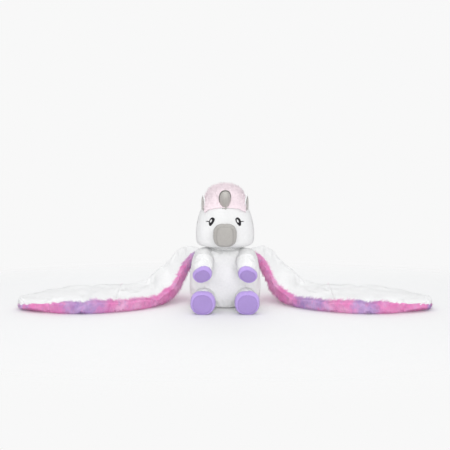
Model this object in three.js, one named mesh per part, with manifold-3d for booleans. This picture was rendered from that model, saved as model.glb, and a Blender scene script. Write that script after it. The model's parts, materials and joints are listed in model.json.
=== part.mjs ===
// A weighted plush unicorn that sits on the floor with two long, bead-filled wings spread out beside it.
// Millimetres, +Z up, -Y towards the toy's face, +X towards the toy's left hand.
// The origin is the centre of the flat seat that the toy sits on.
import * as THREE from "three";
import { mergeVertices } from "three/addons/utils/BufferGeometryUtils.js";
import Module from "manifold-3d";

const wasm = await Module();
wasm.setup();

// Cloth and gaps
const CLOTH = 2.6; // short-pile plush with its backing
const GAP = 0.35; // between pieces that touch
const LIMB_GAP = 0.6; // between a limb and the torso, so that it can turn

// Torso
const TORSO_WIDTH = 172;
const TORSO_DEPTH = 134;
const TORSO_HEIGHT = 139;
const SEAT_PANEL = 4; // thickness of the flat panel that closes the torso
const SEAT_POUCH_HEIGHT = 26;
const POUCH_EASE = 3; // room between a bead pouch and the cover round it

// Neck and head
const NECK_RADIUS = 20;
const NECK_BALL = 27;
const NECK_DEPTH = 20; // how far the neck reaches down into the torso
const NOD_ROOM = 6.5; // room round the neck at the mouth of the head
const HEAD_WIDTH = 142;
const HEAD_DEPTH = 124;
const HEAD_BOTTOM = TORSO_HEIGHT + 4;
const HEAD_TOP = HEAD_BOTTOM + 146;
const NOD_HEIGHT = HEAD_BOTTOM + 20; // the head nods about this height
const SNOUT_RADIUS = 25.8;
const SNOUT_LENGTH = 38;
const SNOUT_HEIGHT = HEAD_BOTTOM + 37;
const NOSE_WIDTH = 38;
const NOSE_HEIGHT = 44;
const NOSE_DEPTH = 13;
const MANE_PILE = 8;
const HAIRLINE_FRONT = HEAD_TOP - 46; // height of the mane's edge on the forehead
const HAIRLINE_SLOPE = 8; // degrees that the edge falls towards the back
const MANE_WIDTH = 100; // over the crown, between the ears
const MANE_STRIP = 62; // width of the mane down the back of the head
const HAIRLINE_BACK = HEAD_BOTTOM + 9; // height where the strip ends
const HORN_LENGTH = 46;
const HORN_RADIUS = 15.5;
const HORN_LEAN = 30; // degrees forward of upright
const EAR_HEIGHT = 46;
const EAR_WIDTH = 30;
const EAR_CLOTH = 4;
const EAR_LINING = 2;
const EAR_BASE = HEAD_TOP - 59; // height of the ear's sewn edge
const EAR_AHEAD = 20; // how far in front of the middle of the head it is sewn
const EAR_LEAN = 2; // degrees outward
const EAR_TURN = 16; // degrees that the ear's front edge turns inward
const EYE_SPACING = 64;
const EYE_HEIGHT = HEAD_BOTTOM + 68;
const EYE_LENGTH = 23;
const EYE_WIDTH = 13;
const EYE_THREAD = 1.2; // how far the stitching stands up

// Arms and legs
const SHOULDER_HEIGHT = TORSO_HEIGHT - 22;
const SHOULDER_SPACING = 100;
const SHOULDER_RADIUS = 22;
const ARM_LENGTH = 54; // shoulder pivot to the end of the hoof
const ARM_DROP = 33; // degrees below level
const ARM_SPLAY = 5; // degrees away from straight ahead
const ARM_ROLL = 22; // degrees that the hoof's outer end drops
const ARM_HOOF_WIDTH = 48;
const ARM_HOOF_HEIGHT = 35;
const ARM_CUFF = 10; // length of the coloured hoof
const HIP_SPACING = 100;
const HIP_RADIUS = 24;
const LEG_LENGTH = 50; // hip pivot to the sole
const LEG_SPLAY = 3;
const LEG_HOOF_WIDTH = 57;
const LEG_HOOF_HEIGHT = 54;
const LEG_CUFF = 20;

// Tail
const TAIL_LENGTH = 74;
const TAIL_RADIUS = 19;
const TAIL_HEIGHT = 34;

// Wings
const WING_REACH = 504; // from the middle of the toy to a wing tip
const WING_CHORD = 244; // front to back at the widest
const WING_THICKNESS = 27;
const WING_ROOT_HEIGHT = TORSO_HEIGHT - 13;
const WING_ROOT_LENGTH = 36; // length of the seam that holds a wing to the torso
const WING_ROOT_BEARING = 68; // degrees round the torso from straight behind to the middle of that seam
const WING_SEAM = 1; // thickness left where a wing is stitched through
const WING_FOLD_GAP = 0.3; // from a fold line to each section's stitched edge
const WING_PINCH = 22; // distance over which a section swells from a stitched edge
const WING_RIM_RISE = 6; // how far above half its thickness a wing's edge seam runs
const WING_POUCH = 13; // height of a wing's bead pouch
const WING_POUCH_MARGIN = 26; // from the wing's edge to the pouch

const rad = THREE.MathUtils.degToRad;
const V = (x, y, z) => new THREE.Vector3(x, y, z);
const COLOURS = {
  white_plush: new THREE.MeshStandardMaterial({ color: 0xf1f0ee, roughness: 0.95 }),
  lavender_plush: new THREE.MeshStandardMaterial({ color: 0xa98fd6, roughness: 0.95 }),
  tie_dye_fur: new THREE.MeshStandardMaterial({ color: 0xdf86c4, roughness: 1 }),
  pink_fur: new THREE.MeshStandardMaterial({ color: 0xf4dbe3, roughness: 1 }),
  silver_cloth: new THREE.MeshStandardMaterial({ color: 0xb8b6b1, roughness: 0.4, metalness: 0.5 }),
  black_thread: new THREE.MeshStandardMaterial({ color: 0x15131a, roughness: 0.6 }),
  fibre_fill: new THREE.MeshStandardMaterial({ color: 0xf7f7f5, roughness: 1 }),
  bead_pouch: new THREE.MeshStandardMaterial({ color: 0xd9d4c8, roughness: 0.9 }),
};

// Mesh tools

// A closed surface through rings of points that have the same count, with each end drawn to its middle.
function loft(rings) {
  const count = rings[0].length;
  const points = rings.flat();
  const faces = [];
  for (let i = 0; i + 1 < rings.length; i++) {
    for (let j = 0; j < count; j++) {
      const k = (j + 1) % count;
      const [a, b, c, d] = [i * count + j, i * count + k, (i + 1) * count + j, (i + 1) * count + k];
      faces.push(a, b, d, a, d, c);
    }
  }
  for (const end of [0, rings.length - 1]) {
    const middle = points.length;
    points.push(rings[end].reduce((s, p) => s.add(p), V(0, 0, 0)).divideScalar(count));
    for (let j = 0; j < count; j++) {
      const [a, b] = [end * count + j, end * count + ((j + 1) % count)];
      faces.push(...(end === 0 ? [b, a, middle] : [a, b, middle]));
    }
  }
  return facingOut(points, faces);
}

// A closed solid between two grids of points, one over the other, with walls round the edge.
function slab(upper, lower) {
  const rows = upper.length;
  const columns = upper[0].length;
  const points = [...upper.flat(), ...lower.flat()];
  const low = rows * columns;
  const at = (i, j) => i * columns + j;
  const faces = [];
  const quad = (a, b, c, d) => faces.push(a, b, c, a, c, d);
  for (let i = 0; i + 1 < rows; i++) {
    for (let j = 0; j + 1 < columns; j++) {
      quad(at(i, j), at(i + 1, j), at(i + 1, j + 1), at(i, j + 1));
      quad(low + at(i, j), low + at(i, j + 1), low + at(i + 1, j + 1), low + at(i + 1, j));
    }
  }
  const wall = (a, b) => quad(a, b, low + b, low + a);
  for (let i = 0; i + 1 < rows; i++) {
    wall(at(i + 1, 0), at(i, 0));
    wall(at(i, columns - 1), at(i + 1, columns - 1));
  }
  for (let j = 0; j + 1 < columns; j++) {
    wall(at(0, j), at(0, j + 1));
    wall(at(rows - 1, j + 1), at(rows - 1, j));
  }
  return facingOut(points, faces);
}

// The geometry of these faces, turned over if they enclose a negative volume.
function facingOut(points, faces) {
  let volume = 0;
  for (let i = 0; i < faces.length; i += 3) {
    const [a, b, c] = [points[faces[i]], points[faces[i + 1]], points[faces[i + 2]]];
    volume += a.dot(V(0, 0, 0).crossVectors(b, c));
  }
  if (volume < 0) faces.reverse();
  return new THREE.BufferGeometry().setFromPoints(points).setIndex(faces);
}

function solidOf(geometry) {
  const bare = geometry.clone();
  for (const name of Object.keys(bare.attributes)) if (name !== "position") bare.deleteAttribute(name);
  const merged = mergeVertices(bare, 1e-4);
  const triVerts = new Uint32Array(merged.index.array);
  return new wasm.Manifold(
    new wasm.Mesh({ numProp: 3, vertProperties: merged.attributes.position.array, triVerts }),
  );
}

function geometryOf(solid) {
  const mesh = solid.getMesh();
  const geometry = new THREE.BufferGeometry();
  geometry.setAttribute("position", new THREE.BufferAttribute(mesh.vertProperties, mesh.numProp));
  return geometry.setIndex(new THREE.BufferAttribute(mesh.triVerts, 1));
}

// A cut that keeps only the largest piece.
function cut(geometry, ...tools) {
  const left = tools.reduce((solid, tool) => solid.subtract(solidOf(tool)), solidOf(geometry));
  const bodies = left.decompose().sort((a, b) => b.volume() - a.volume());
  return geometryOf(bodies[0]);
}

const keep = (geometry, tool) => geometryOf(solidOf(geometry).intersect(solidOf(tool)));

// Everything between two heights, wider than the toy
const WIDE = 2000;
const slice = (bottom, top) =>
  new THREE.BoxGeometry(WIDE, WIDE, top - bottom).translate(0, 0, (bottom + top) / 2);

// Stuffed forms

const LEAST_HALF = 0.5; // the smallest half width of a ring

// A stuffed form: superellipse rings along a straight axis. Each station is [distance along the axis,
// half width, half height, sideways shift]. grow makes the form larger all round, or smaller below zero.
function stuffed({ from, along, up, stations, roundness = 2.3, steps, sides, grow = 0 }) {
  const axis = along.clone().normalize();
  const over = up.clone().addScaledVector(axis, -up.dot(axis)).normalize();
  const side = V(0, 0, 0).crossVectors(axis, over);
  const size = new THREE.CatmullRomCurve3(stations.map(([t, w, h]) => V(t, w, h)), false, "centripetal");
  const lift = new THREE.CatmullRomCurve3(stations.map(([t, , , s = 0]) => V(t, s, 0)), false, "centripetal");
  const middle = (stations[0][0] + stations.at(-1)[0]) / 2;
  const half = (stations.at(-1)[0] - stations[0][0]) / 2;
  const rings = [];
  for (let i = 0; i <= steps; i++) {
    const { x: t, y: wide, z: high } = size.getPoint(i / steps);
    const shift = lift.getPoint(i / steps).y;
    const stretched = middle + (t - middle) * (1 + grow / half);
    const centre = from.clone().addScaledVector(axis, stretched).addScaledVector(over, shift);
    const [w, h] = [wide, high].map((half) => Math.max(half + grow, LEAST_HALF));
    rings.push(ringOf(centre, side, over, w, h, roundness, sides));
  }
  return loft(rings);
}

function ringOf(centre, side, over, wide, high, roundness, sides) {
  const ring = [];
  for (let j = 0; j < sides; j++) {
    const angle = (2 * Math.PI * j) / sides;
    const [c, s] = [Math.cos(angle), Math.sin(angle)];
    const reach = (Math.abs(c) ** roundness + Math.abs(s) ** roundness) ** (-1 / roundness);
    ring.push(centre.clone().addScaledVector(side, c * reach * wide).addScaledVector(over, s * reach * high));
  }
  return ring;
}

// A round-ended form along an axis: a ball of the first radius at the start that tapers or swells to the end.
const roundStart = (radius) => [
  [-radius, radius * 0.1, radius * 0.1],
  [-radius * 0.86, radius * 0.5, radius * 0.5],
  [-radius * 0.5, radius * 0.86, radius * 0.86],
];

// A turned form about a vertical axis through (x, y), from a profile of [radius, height] pairs.
const turned = (profile, sides) =>
  new THREE.LatheGeometry(profile.map(([r, z]) => new THREE.Vector2(r, z)), sides).rotateX(Math.PI / 2);

// Torso: a pear that is flat underneath, with its cover open at the seat and at the neck
const torsoForm = (grow = 0) =>
  stuffed({
    from: V(0, 0, 0),
    along: V(0, 0, 1),
    up: V(0, -1, 0),
    roundness: 2.2,
    steps: 10,
    sides: 20,
    grow,
    stations: [
      [0, 0.78, 0.76],
      [0.06, 0.93, 0.92],
      [0.22, 1, 1],
      [0.46, 0.99, 0.97],
      [0.68, 0.96, 0.9],
      [0.86, 0.87, 0.78],
      [0.96, 0.7, 0.61],
      [1, 0.5, 0.45],
    ].map(([t, w, d]) => [t * TORSO_HEIGHT, (w * TORSO_WIDTH) / 2, (d * TORSO_DEPTH) / 2]),
  });

// The neck: a stuffed stalk with a ball on top, seated in a round hole in the torso and a hollow in the head
const BALL_STEPS = 8;
const NECK_SIDES = 20;
function ballOnStalk(ball, stalk, bottom) {
  const meet = Math.PI - Math.asin(stalk / ball);
  const profile = [[0, bottom], [stalk, bottom]];
  for (let i = 0; i < BALL_STEPS; i++) {
    const angle = meet * (1 - i / BALL_STEPS);
    profile.push([ball * Math.sin(angle), NOD_HEIGHT + ball * Math.cos(angle)]);
  }
  profile.push([0, NOD_HEIGHT + ball]);
  return turned(profile, NECK_SIDES);
}
const neckForm = (grow) => ballOnStalk(NECK_BALL + grow, NECK_RADIUS + grow, TORSO_HEIGHT - NECK_DEPTH - grow);
const neckSocket = ballOnStalk(NECK_BALL + GAP, NECK_RADIUS + NOD_ROOM, TORSO_HEIGHT);

// Head: wide at the cheeks and narrower at the crown
const HEAD_TALL = HEAD_TOP - HEAD_BOTTOM;
const headForm = (grow = 0) =>
  stuffed({
    from: V(0, 0, HEAD_BOTTOM),
    along: V(0, 0, 1),
    up: V(0, -1, 0),
    roundness: 2.25,
    steps: 12,
    sides: 20,
    grow,
    stations: [
      [0, 0.54, 0.56],
      [0.035, 0.8, 0.81],
      [0.1, 0.96, 0.96],
      [0.26, 1, 1],
      [0.45, 0.95, 0.98],
      [0.62, 0.84, 0.92],
      [0.78, 0.67, 0.8],
      [0.92, 0.45, 0.57],
      [0.985, 0.22, 0.3],
      [1, 0.08, 0.1],
    ].map(([t, w, d]) => [t * HEAD_TALL, (w * HEAD_WIDTH) / 2, (d * HEAD_DEPTH) / 2]),
  });

// The first point of a form met from straight ahead
const BOTH_SIDES = new THREE.MeshBasicMaterial({ side: THREE.DoubleSide });
function frontOf(geometry, x, z) {
  const ray = new THREE.Raycaster(V(x, -WIDE, z), V(0, 1, 0));
  return ray.intersectObject(new THREE.Mesh(geometry, BOTH_SIDES))[0].point;
}

// How far forward the face is, at a height and a place across it
function faceDepth(x, z) {
  return frontOf(headForm(), x, z).y;
}

// The snout: a short, round-ended tube that stands out of the face, and the nose panel that caps it
const SNOUT_INSIDE = 17; // how far inside the face its form starts
const snoutFrom = V(0, SNOUT_INSIDE - HEAD_DEPTH / 2, SNOUT_HEIGHT);
const snoutEnd = SNOUT_LENGTH + SNOUT_INSIDE;
const snoutForm = (grow = 0) =>
  stuffed({
    from: snoutFrom,
    along: V(0, -1, 0),
    up: V(0, 0, 1),
    roundness: 2.8,
    steps: 8,
    sides: 20,
    grow,
    stations: [
      [0, 1.06, 1.02],
      [0.4, 1.06, 1.01],
      [0.7, 1.04, 0.98],
      [0.88, 1, 0.94],
      [0.97, 0.92, 0.88],
      [1, 0.82, 0.8],
    ].map(([t, w, h]) => [t * snoutEnd, w * SNOUT_RADIUS, h * SNOUT_RADIUS]),
  });
const noseForm = (grow = 0) =>
  stuffed({
    from: snoutFrom,
    along: V(0, -1, 0),
    up: V(0, 0, 1),
    roundness: 2.9,
    steps: 6,
    sides: 20,
    grow,
    stations: [
      [snoutEnd - NOSE_DEPTH, NOSE_WIDTH * 0.5, NOSE_HEIGHT * 0.5],
      [snoutEnd - NOSE_DEPTH * 0.5, NOSE_WIDTH * 0.5, NOSE_HEIGHT * 0.5],
      [snoutEnd, NOSE_WIDTH * 0.48, NOSE_HEIGHT * 0.48],
      [snoutEnd + CLOTH * 1.2, NOSE_WIDTH * 0.4, NOSE_HEIGHT * 0.4],
      [snoutEnd + CLOTH * 2, NOSE_WIDTH * 0.2, NOSE_HEIGHT * 0.2],
    ],
  });

// The horn: a stubby silver bulb with a blunt tip, leaning forward from the crown
const HORN_RISE = 6; // from the hairline up to the middle of the horn's foot
const HORN_SINK = 7; // from the face back to the middle of the horn's foot
const hornHeight = HAIRLINE_FRONT + HORN_RISE;
const hornBase = V(0, faceDepth(0, hornHeight) + HORN_SINK, hornHeight);
const hornForm = (grow = 0) =>
  stuffed({
    from: hornBase,
    along: V(0, -Math.sin(rad(HORN_LEAN)), Math.cos(rad(HORN_LEAN))),
    up: V(0, -1, 0),
    roundness: 2,
    steps: 8,
    sides: 16,
    grow,
    stations: [
      [-4, 0.82, 0.82],
      [HORN_LENGTH * 0.2, 0.94, 0.94],
      [HORN_LENGTH * 0.5, 1, 1],
      [HORN_LENGTH * 0.76, 0.89, 0.89],
      [HORN_LENGTH * 0.94, 0.56, 0.56],
      [HORN_LENGTH, 0.1, 0.1],
    ].map(([t, w, h]) => [t, w * HORN_RADIUS, h * HORN_RADIUS]),
  });

// An ear: a leaf that stands beside the crown, its silver lining turned outwards
function leaf(width, height) {
  const shape = new THREE.Shape();
  shape.moveTo(-width * 0.36, 0);
  shape.quadraticCurveTo(-width * 0.74, height * 0.5, 0, height);
  shape.quadraticCurveTo(width * 0.74, height * 0.5, width * 0.36, 0);
  shape.closePath();
  return shape;
}
const leafForm = (width, height, depth) =>
  new THREE.ExtrudeGeometry(leaf(width, height), { depth, bevelEnabled: false, curveSegments: 7 });
const EAR_OUT = HEAD_WIDTH * 0.35; // from the middle of the head to the foot of an ear
function earPlace(side) {
  const up = V(side * Math.sin(rad(EAR_LEAN)), 0, Math.cos(rad(EAR_LEAN)));
  const ahead = V(-side * Math.sin(rad(EAR_TURN)), -Math.cos(rad(EAR_TURN)), 0);
  const outward = V(0, 0, 0).crossVectors(ahead, up).multiplyScalar(-side).normalize();
  const across = V(0, 0, 0).crossVectors(up, outward).normalize();
  return new THREE.Matrix4().makeBasis(across, up, outward).setPosition(side * EAR_OUT, -EAR_AHEAD, EAR_BASE);
}

// Limbs
function pointing(side, splay, drop) {
  const level = Math.cos(rad(drop));
  return V(side * Math.sin(rad(splay)) * level, -Math.cos(rad(splay)) * level, -Math.sin(rad(drop)));
}

function limbForm(limb, grow) {
  const end = limb.length;
  const neck = end - limb.cuff;
  return stuffed({
    from: limb.pivot,
    along: limb.along,
    up: limb.up,
    roundness: 2.2,
    steps: 9,
    sides: 14,
    grow,
    stations: [
      ...roundStart(limb.radius),
      [0, limb.radius, limb.radius],
      [neck * 0.6, (limb.radius + limb.wide) / 2, (limb.radius + limb.high) / 2],
      [neck, limb.wide * 0.97, limb.high * 0.97],
      [end - limb.high * 0.3, limb.wide, limb.high],
      [end - limb.high * 0.08, limb.wide * 0.9, limb.high * 0.9],
      [end, limb.wide * 0.7, limb.high * 0.7],
    ],
  });
}

// The limb, moved straight back until it lies one gap from the torso
const SEAT_STEPS = 12;
function seated(limb) {
  const torso = solidOf(torsoForm());
  limb.pivot = frontOf(torsoForm(limb.radius + LIMB_GAP), limb.pivot.x, limb.pivot.z);
  for (let i = 0; i < SEAT_STEPS; i++) {
    limb.pivot.y += solidOf(limbForm(limb, 0)).minGap(torso, limb.radius) - LIMB_GAP;
  }
  return limb;
}

// Pieces, by name
const unicorn = new THREE.Group();
function piece(name, material, geometry) {
  const mesh = new THREE.Mesh(geometry, COLOURS[material]);
  mesh.name = name;
  unicorn.add(mesh);
  return mesh;
}

// Torso pieces
const neckHole = neckForm(GAP);
const seatLine = SEAT_PANEL + GAP;
const pouchTop = seatLine + SEAT_POUCH_HEIGHT;
const below = (height) => slice(-WIDE, height);
piece("torso_cover", "white_plush", cut(torsoForm(), torsoForm(-CLOTH), below(seatLine), neckHole));
piece("seat_panel", "white_plush", keep(torsoForm(), below(SEAT_PANEL)));
piece("seat_bead_pouch", "bead_pouch", keep(torsoForm(-CLOTH - POUCH_EASE), slice(seatLine, pouchTop)));
piece("torso_stuffing", "fibre_fill", cut(torsoForm(-CLOTH - GAP), below(pouchTop + GAP), neckHole));
piece("neck", "fibre_fill", neckForm(0));

// Head pieces
piece("head_cover", "white_plush", cut(headForm(), headForm(-CLOTH), neckSocket));
piece("head_stuffing", "fibre_fill", cut(headForm(-CLOTH - GAP), neckSocket));
piece("snout", "silver_cloth", cut(snoutForm(), headForm(GAP), noseForm(GAP)));
piece("nose_panel", "silver_cloth", noseForm());
piece("horn", "silver_cloth", cut(hornForm(), headForm(GAP)));
for (const [name, side] of [["right", -1], ["left", 1]]) {
  const place = earPlace(side);
  const back = leafForm(EAR_WIDTH, EAR_HEIGHT, EAR_CLOTH).applyMatrix4(place);
  const lining = leafForm(EAR_WIDTH * 0.76, EAR_HEIGHT * 0.84, EAR_LINING);
  lining.translate(0, EAR_HEIGHT * 0.05, EAR_CLOTH + GAP).applyMatrix4(place);
  piece(`ear_${name}`, "white_plush", cut(back, headForm(GAP)));
  piece(`ear_lining_${name}`, "silver_cloth", cut(lining, headForm(GAP)));
}

// The mane: a thick fur cap over the crown that runs down the back of the head
const aboveHairline = new THREE.BoxGeometry(MANE_WIDTH, WIDE, WIDE)
  .translate(0, 0, WIDE / 2)
  .rotateX(-rad(HAIRLINE_SLOPE))
  .translate(0, -HEAD_DEPTH / 2, HAIRLINE_FRONT);
const stripTall = HEAD_TOP - HAIRLINE_BACK;
const downTheBack = new THREE.BoxGeometry(MANE_STRIP, HEAD_DEPTH, stripTall)
  .translate(0, HEAD_DEPTH / 2, HAIRLINE_BACK + stripTall / 2);
const earRoom = [-1, 1].map((side) =>
  leafForm(EAR_WIDTH + 4 * GAP, EAR_HEIGHT + 2 * GAP, EAR_CLOTH + EAR_LINING + 3 * GAP)
    .translate(0, -GAP, -GAP)
    .applyMatrix4(earPlace(side)),
);
const hair = solidOf(aboveHairline).add(solidOf(downTheBack));
const cap = keep(headForm(MANE_PILE), geometryOf(hair));
piece("mane", "pink_fur", cut(cap, headForm(GAP), hornForm(GAP), snoutForm(GAP), ...earRoom));

// Eyes: raised stitching that follows the curve of the face
function eye(side) {
  const across = [-1, -0.6, 0, 0.6, 1];
  const along = [-1, -0.5, 0, 0.5, 1];
  const grid = (stand) =>
    across.map((a) =>
      along.map((b) => {
        const narrow = Math.sqrt(1.02 - b * b) * (1 - 0.25 * b);
        const x = side * (EYE_SPACING / 2 + (a * narrow * EYE_WIDTH) / 2 - b * EYE_WIDTH * 0.15);
        const z = EYE_HEIGHT + (b * EYE_LENGTH) / 2;
        return V(x, faceDepth(x, z) - stand, z);
      }),
    );
  return slab(grid(GAP + EYE_THREAD), grid(GAP));
}
piece("eye_right", "black_thread", eye(-1));
piece("eye_left", "black_thread", eye(1));

// Arms and legs: a plush sleeve and a coloured hoof sewn end to end, both filled
function limbPieces(name, side, limb) {
  const shell = solidOf(limbForm(limb, 0)).subtract(solidOf(limbForm(limb, -CLOTH)));
  const ahead = new THREE.Quaternion().setFromUnitVectors(V(0, 0, 1), limb.along.clone().normalize());
  const from = (distance) => slice(distance, WIDE).applyQuaternion(ahead).translate(...limb.pivot);
  const opening = new THREE.CylinderGeometry(limb.radius * 0.45, limb.radius * 0.45, limb.radius, 12)
    .rotateX(Math.PI / 2)
    .translate(0, 0, -limb.radius)
    .applyQuaternion(ahead)
    .translate(...limb.pivot);
  const seam = limb.length - limb.cuff;
  const sleeve = geometryOf(shell.subtract(solidOf(from(seam))).subtract(solidOf(opening)));
  piece(`${name}_sleeve_${side}`, "white_plush", sleeve);
  piece(`${name}_hoof_${side}`, "lavender_plush", geometryOf(shell.intersect(solidOf(from(seam + GAP)))));
  piece(`${name}_stuffing_${side}`, "fibre_fill", limbForm(limb, -CLOTH - GAP));
}
for (const [name, side] of [["right", -1], ["left", 1]]) {
  const arm = {
    pivot: V((side * SHOULDER_SPACING) / 2, 0, SHOULDER_HEIGHT),
    along: pointing(side, ARM_SPLAY, ARM_DROP),
    up: V(side * Math.sin(rad(ARM_ROLL)), 0, Math.cos(rad(ARM_ROLL))),
    radius: SHOULDER_RADIUS,
    length: ARM_LENGTH,
    wide: ARM_HOOF_WIDTH / 2,
    high: ARM_HOOF_HEIGHT / 2,
    cuff: ARM_CUFF,
  };
  const leg = {
    pivot: V((side * HIP_SPACING) / 2, 0, LEG_HOOF_HEIGHT / 2),
    along: pointing(side, LEG_SPLAY, 0),
    up: V(0, 0, 1),
    radius: HIP_RADIUS,
    length: LEG_LENGTH,
    wide: LEG_HOOF_WIDTH / 2,
    high: LEG_HOOF_HEIGHT / 2,
    cuff: LEG_CUFF,
  };
  limbPieces("arm", name, seated(arm));
  limbPieces("leg", name, seated(leg));
}

// The tail: a fur roll behind the seat
const tailRoot = TORSO_DEPTH / 2 + TAIL_RADIUS * 0.75;
piece("tail", "tie_dye_fur", cut(stuffed({
  from: V(0, tailRoot, TAIL_HEIGHT),
  along: V(0, TAIL_LENGTH, TAIL_RADIUS - TAIL_HEIGHT),
  up: V(0, 0, 1),
  steps: 8,
  sides: 14,
  stations: [
    ...roundStart(TAIL_RADIUS * 0.7),
    [0, TAIL_RADIUS * 0.72, TAIL_RADIUS * 0.72],
    [TAIL_LENGTH * 0.45, TAIL_RADIUS, TAIL_RADIUS],
    [TAIL_LENGTH * 0.8, TAIL_RADIUS * 0.75, TAIL_RADIUS * 0.75],
    [TAIL_LENGTH, TAIL_RADIUS * 0.12, TAIL_RADIUS * 0.12],
  ],
}), torsoForm(GAP)));

// Wings. Each is two cloths stitched together round the edge and across two fold lines, which make three
// pockets: one that drapes from the shoulder, and two that lie on the floor. Each pocket holds a bead pouch.

// The seam that holds the left wing runs along the torso's shoulder, one gap outside it.
const bearing = V(Math.sin(rad(WING_ROOT_BEARING)), Math.cos(rad(WING_ROOT_BEARING)), 0);
const inward = new THREE.Raycaster(
  bearing.clone().multiplyScalar(WIDE).setZ(WING_ROOT_HEIGHT),
  bearing.clone().negate(),
);
const [shoulder] = inward.intersectObject(new THREE.Mesh(torsoForm(GAP + WING_SEAM / 2), BOTH_SIDES));
const alongShoulder = V(0, 0, 1).cross(shoulder.face.normal).setLength(WING_ROOT_LENGTH / 2);
const rootFront = shoulder.point.clone().sub(alongShoulder);
const rootBack = shoulder.point.clone().add(alongShoulder);

// The wing's front and back edges, at half its thickness, from the shoulder to the tip: each point is
// [distance from the middle, share of the chord towards the back, share of the drop from the shoulder].
const rest = WING_THICKNESS / 2;
const drape = WING_ROOT_HEIGHT - rest;
const beside = TORSO_WIDTH / 2;
const out = WING_REACH - beside;
const frontEdge = [
  [beside + out * 0.035, 0.14, 0.56],
  [beside + out * 0.09, 0.02, 0.2],
  [beside + out * 0.19, -0.2, 0.012],
  [beside + out * 0.42, -0.46, 0],
  [beside + out * 0.6, -0.52, 0],
  [beside + out * 0.79, -0.48, 0],
  [beside + out * 0.95, -0.37, 0],
  [beside + out, -0.28, 0],
];
const backEdge = [
  [beside + out * 0.04, 0.4, 1],
  [beside + out * 0.14, 0.47, 0.64],
  [beside + out * 0.27, 0.49, 0.17],
  [beside + out * 0.45, 0.48, 0.012],
  [beside + out * 0.62, 0.43, 0],
  [beside + out * 0.8, 0.3, 0],
  [beside + out * 0.95, 0.06, 0],
  [beside + out, -0.14, 0],
];
const smooth = (points) => new THREE.CatmullRomCurve3(points, false, "centripetal");
const placed = ([x, y, z]) => V(x, y * WING_CHORD, rest + z * drape);
const frontCurve = smooth([rootFront, ...frontEdge.map(placed)]);
const backCurve = smooth([rootBack, ...backEdge.map(placed)]);
const FOLDS = [0, 3 / 8, 5 / 8, 1]; // where the fold lines cross the edges, along the curves' points

const onWing = (u, v) => frontCurve.getPoint(u).lerp(backCurve.getPoint(u), v);
function wingUp(u, v) {
  const step = 1e-3;
  const [u0, u1] = [Math.max(u - step, 0), Math.min(u + step, 1)];
  const along = onWing(u1, v).sub(onWing(u0, v));
  const across = backCurve.getPoint(u).sub(frontCurve.getPoint(u));
  return V(0, 0, 0).crossVectors(along, across).normalize();
}

// Grid lines across a span of this length: close together near each end, where the cloth turns over.
function lines(length, turn, margin, middle) {
  const near = [0, turn * 0.14, turn * 0.5, Math.max(margin, turn)];
  const start = near.at(-1);
  const step = (length - 2 * start) / (middle + 1);
  const inside = Array.from({ length: middle }, (_, i) => start + step * (i + 1));
  return [...near, ...inside, ...near.map((d) => length - d).reverse()];
}
const swell = (distance, turn) => Math.sqrt(1 - (1 - Math.min(distance / turn, 1)) ** 2);
const pinch = (distance) => Math.sin((Math.min(distance / WING_PINCH, 1) * Math.PI) / 2);

function wingPocket(index) {
  const [start, end] = [FOLDS[index], FOLDS[index + 1]];
  const length = onWing(start, 0.5).distanceTo(onWing(end, 0.5));
  const turn = WING_THICKNESS * 0.7;
  const last = end === 1;
  const rows = lines(length, WING_PINCH, WING_POUCH_MARGIN, 2);
  const firstRow = WING_FOLD_GAP;
  const share = (d) => start + (end - start) * ((firstRow + (d * (length - 2 * firstRow)) / length) / length);
  const chordAt = (u) => frontCurve.getPoint(u).distanceTo(backCurve.getPoint(u));
  const nodes = rows.map((d) => {
    const u = share(d);
    const chord = chordAt(u);
    const narrow = Math.min(1, chord / (2.4 * WING_POUCH_MARGIN));
    return lines(chord, turn * narrow, WING_POUCH_MARGIN * narrow, 2).map((c) => {
      const ends = Math.min(pinch(d), last ? swell(length - d, turn) : pinch(length - d));
      const full = swell(Math.min(c, chord - c), turn * narrow);
      const rim = WING_RIM_RISE * ends;
      return {
        at: onWing(u, c / chord),
        up: wingUp(u, c / chord),
        above: rim + Math.max((rest * ends - rim) * full, WING_SEAM / 2),
        below: rim - Math.max((rest * ends + rim) * full, WING_SEAM / 2),
        seam: rim * (1 - full),
      };
    });
  });
  const firstIn = 3;
  const pouchHalf = (i, j) => {
    const [r, c] = [Math.min(i, nodes.length - 1 - i), Math.min(j, nodes[0].length - 1 - j)];
    if (r < firstIn || c < firstIn) return 0;
    const edge = r === firstIn || c === firstIn;
    return edge ? WING_SEAM : WING_POUCH / 2;
  };
  const offset = (pick) =>
    nodes.map((row, i) => row.map((n, j) => n.at.clone().addScaledVector(n.up, pick(n, i, j))));
  const inside = (grid) => grid.slice(firstIn, -firstIn).map((row) => row.slice(firstIn, -firstIn));
  const level = (side, ease) => offset((n, i, j) => n.seam + side * (pouchHalf(i, j) + ease));
  return {
    top: slab(offset((n) => n.above), level(1, GAP / 2)),
    bottom: slab(level(-1, GAP / 2), offset((n) => n.below)),
    pouch: slab(inside(level(1, -GAP / 4)), inside(level(-1, -GAP / 4))),
  };
}

const mirror = (geometry) => {
  const flipped = geometry.clone().applyMatrix4(new THREE.Matrix4().makeScale(-1, 1, 1));
  flipped.setIndex([...flipped.index.array].reverse());
  return flipped;
};
["root", "middle", "tip"].forEach((place, index) => {
  const pocket = wingPocket(index);
  const clear = torsoForm(GAP);
  const fit = (geometry) => (index === 0 ? cut(geometry, clear) : geometry);
  for (const side of ["left", "right"]) {
    const turn = side === "left" ? (g) => g : mirror;
    piece(`wing_${place}_top_${side}`, "white_plush", turn(fit(pocket.top)));
    piece(`wing_${place}_fur_${side}`, "tie_dye_fur", turn(fit(pocket.bottom)));
    piece(`wing_${place}_pouch_${side}`, "bead_pouch", turn(pocket.pouch));
  }
});

export default unicorn;
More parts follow.
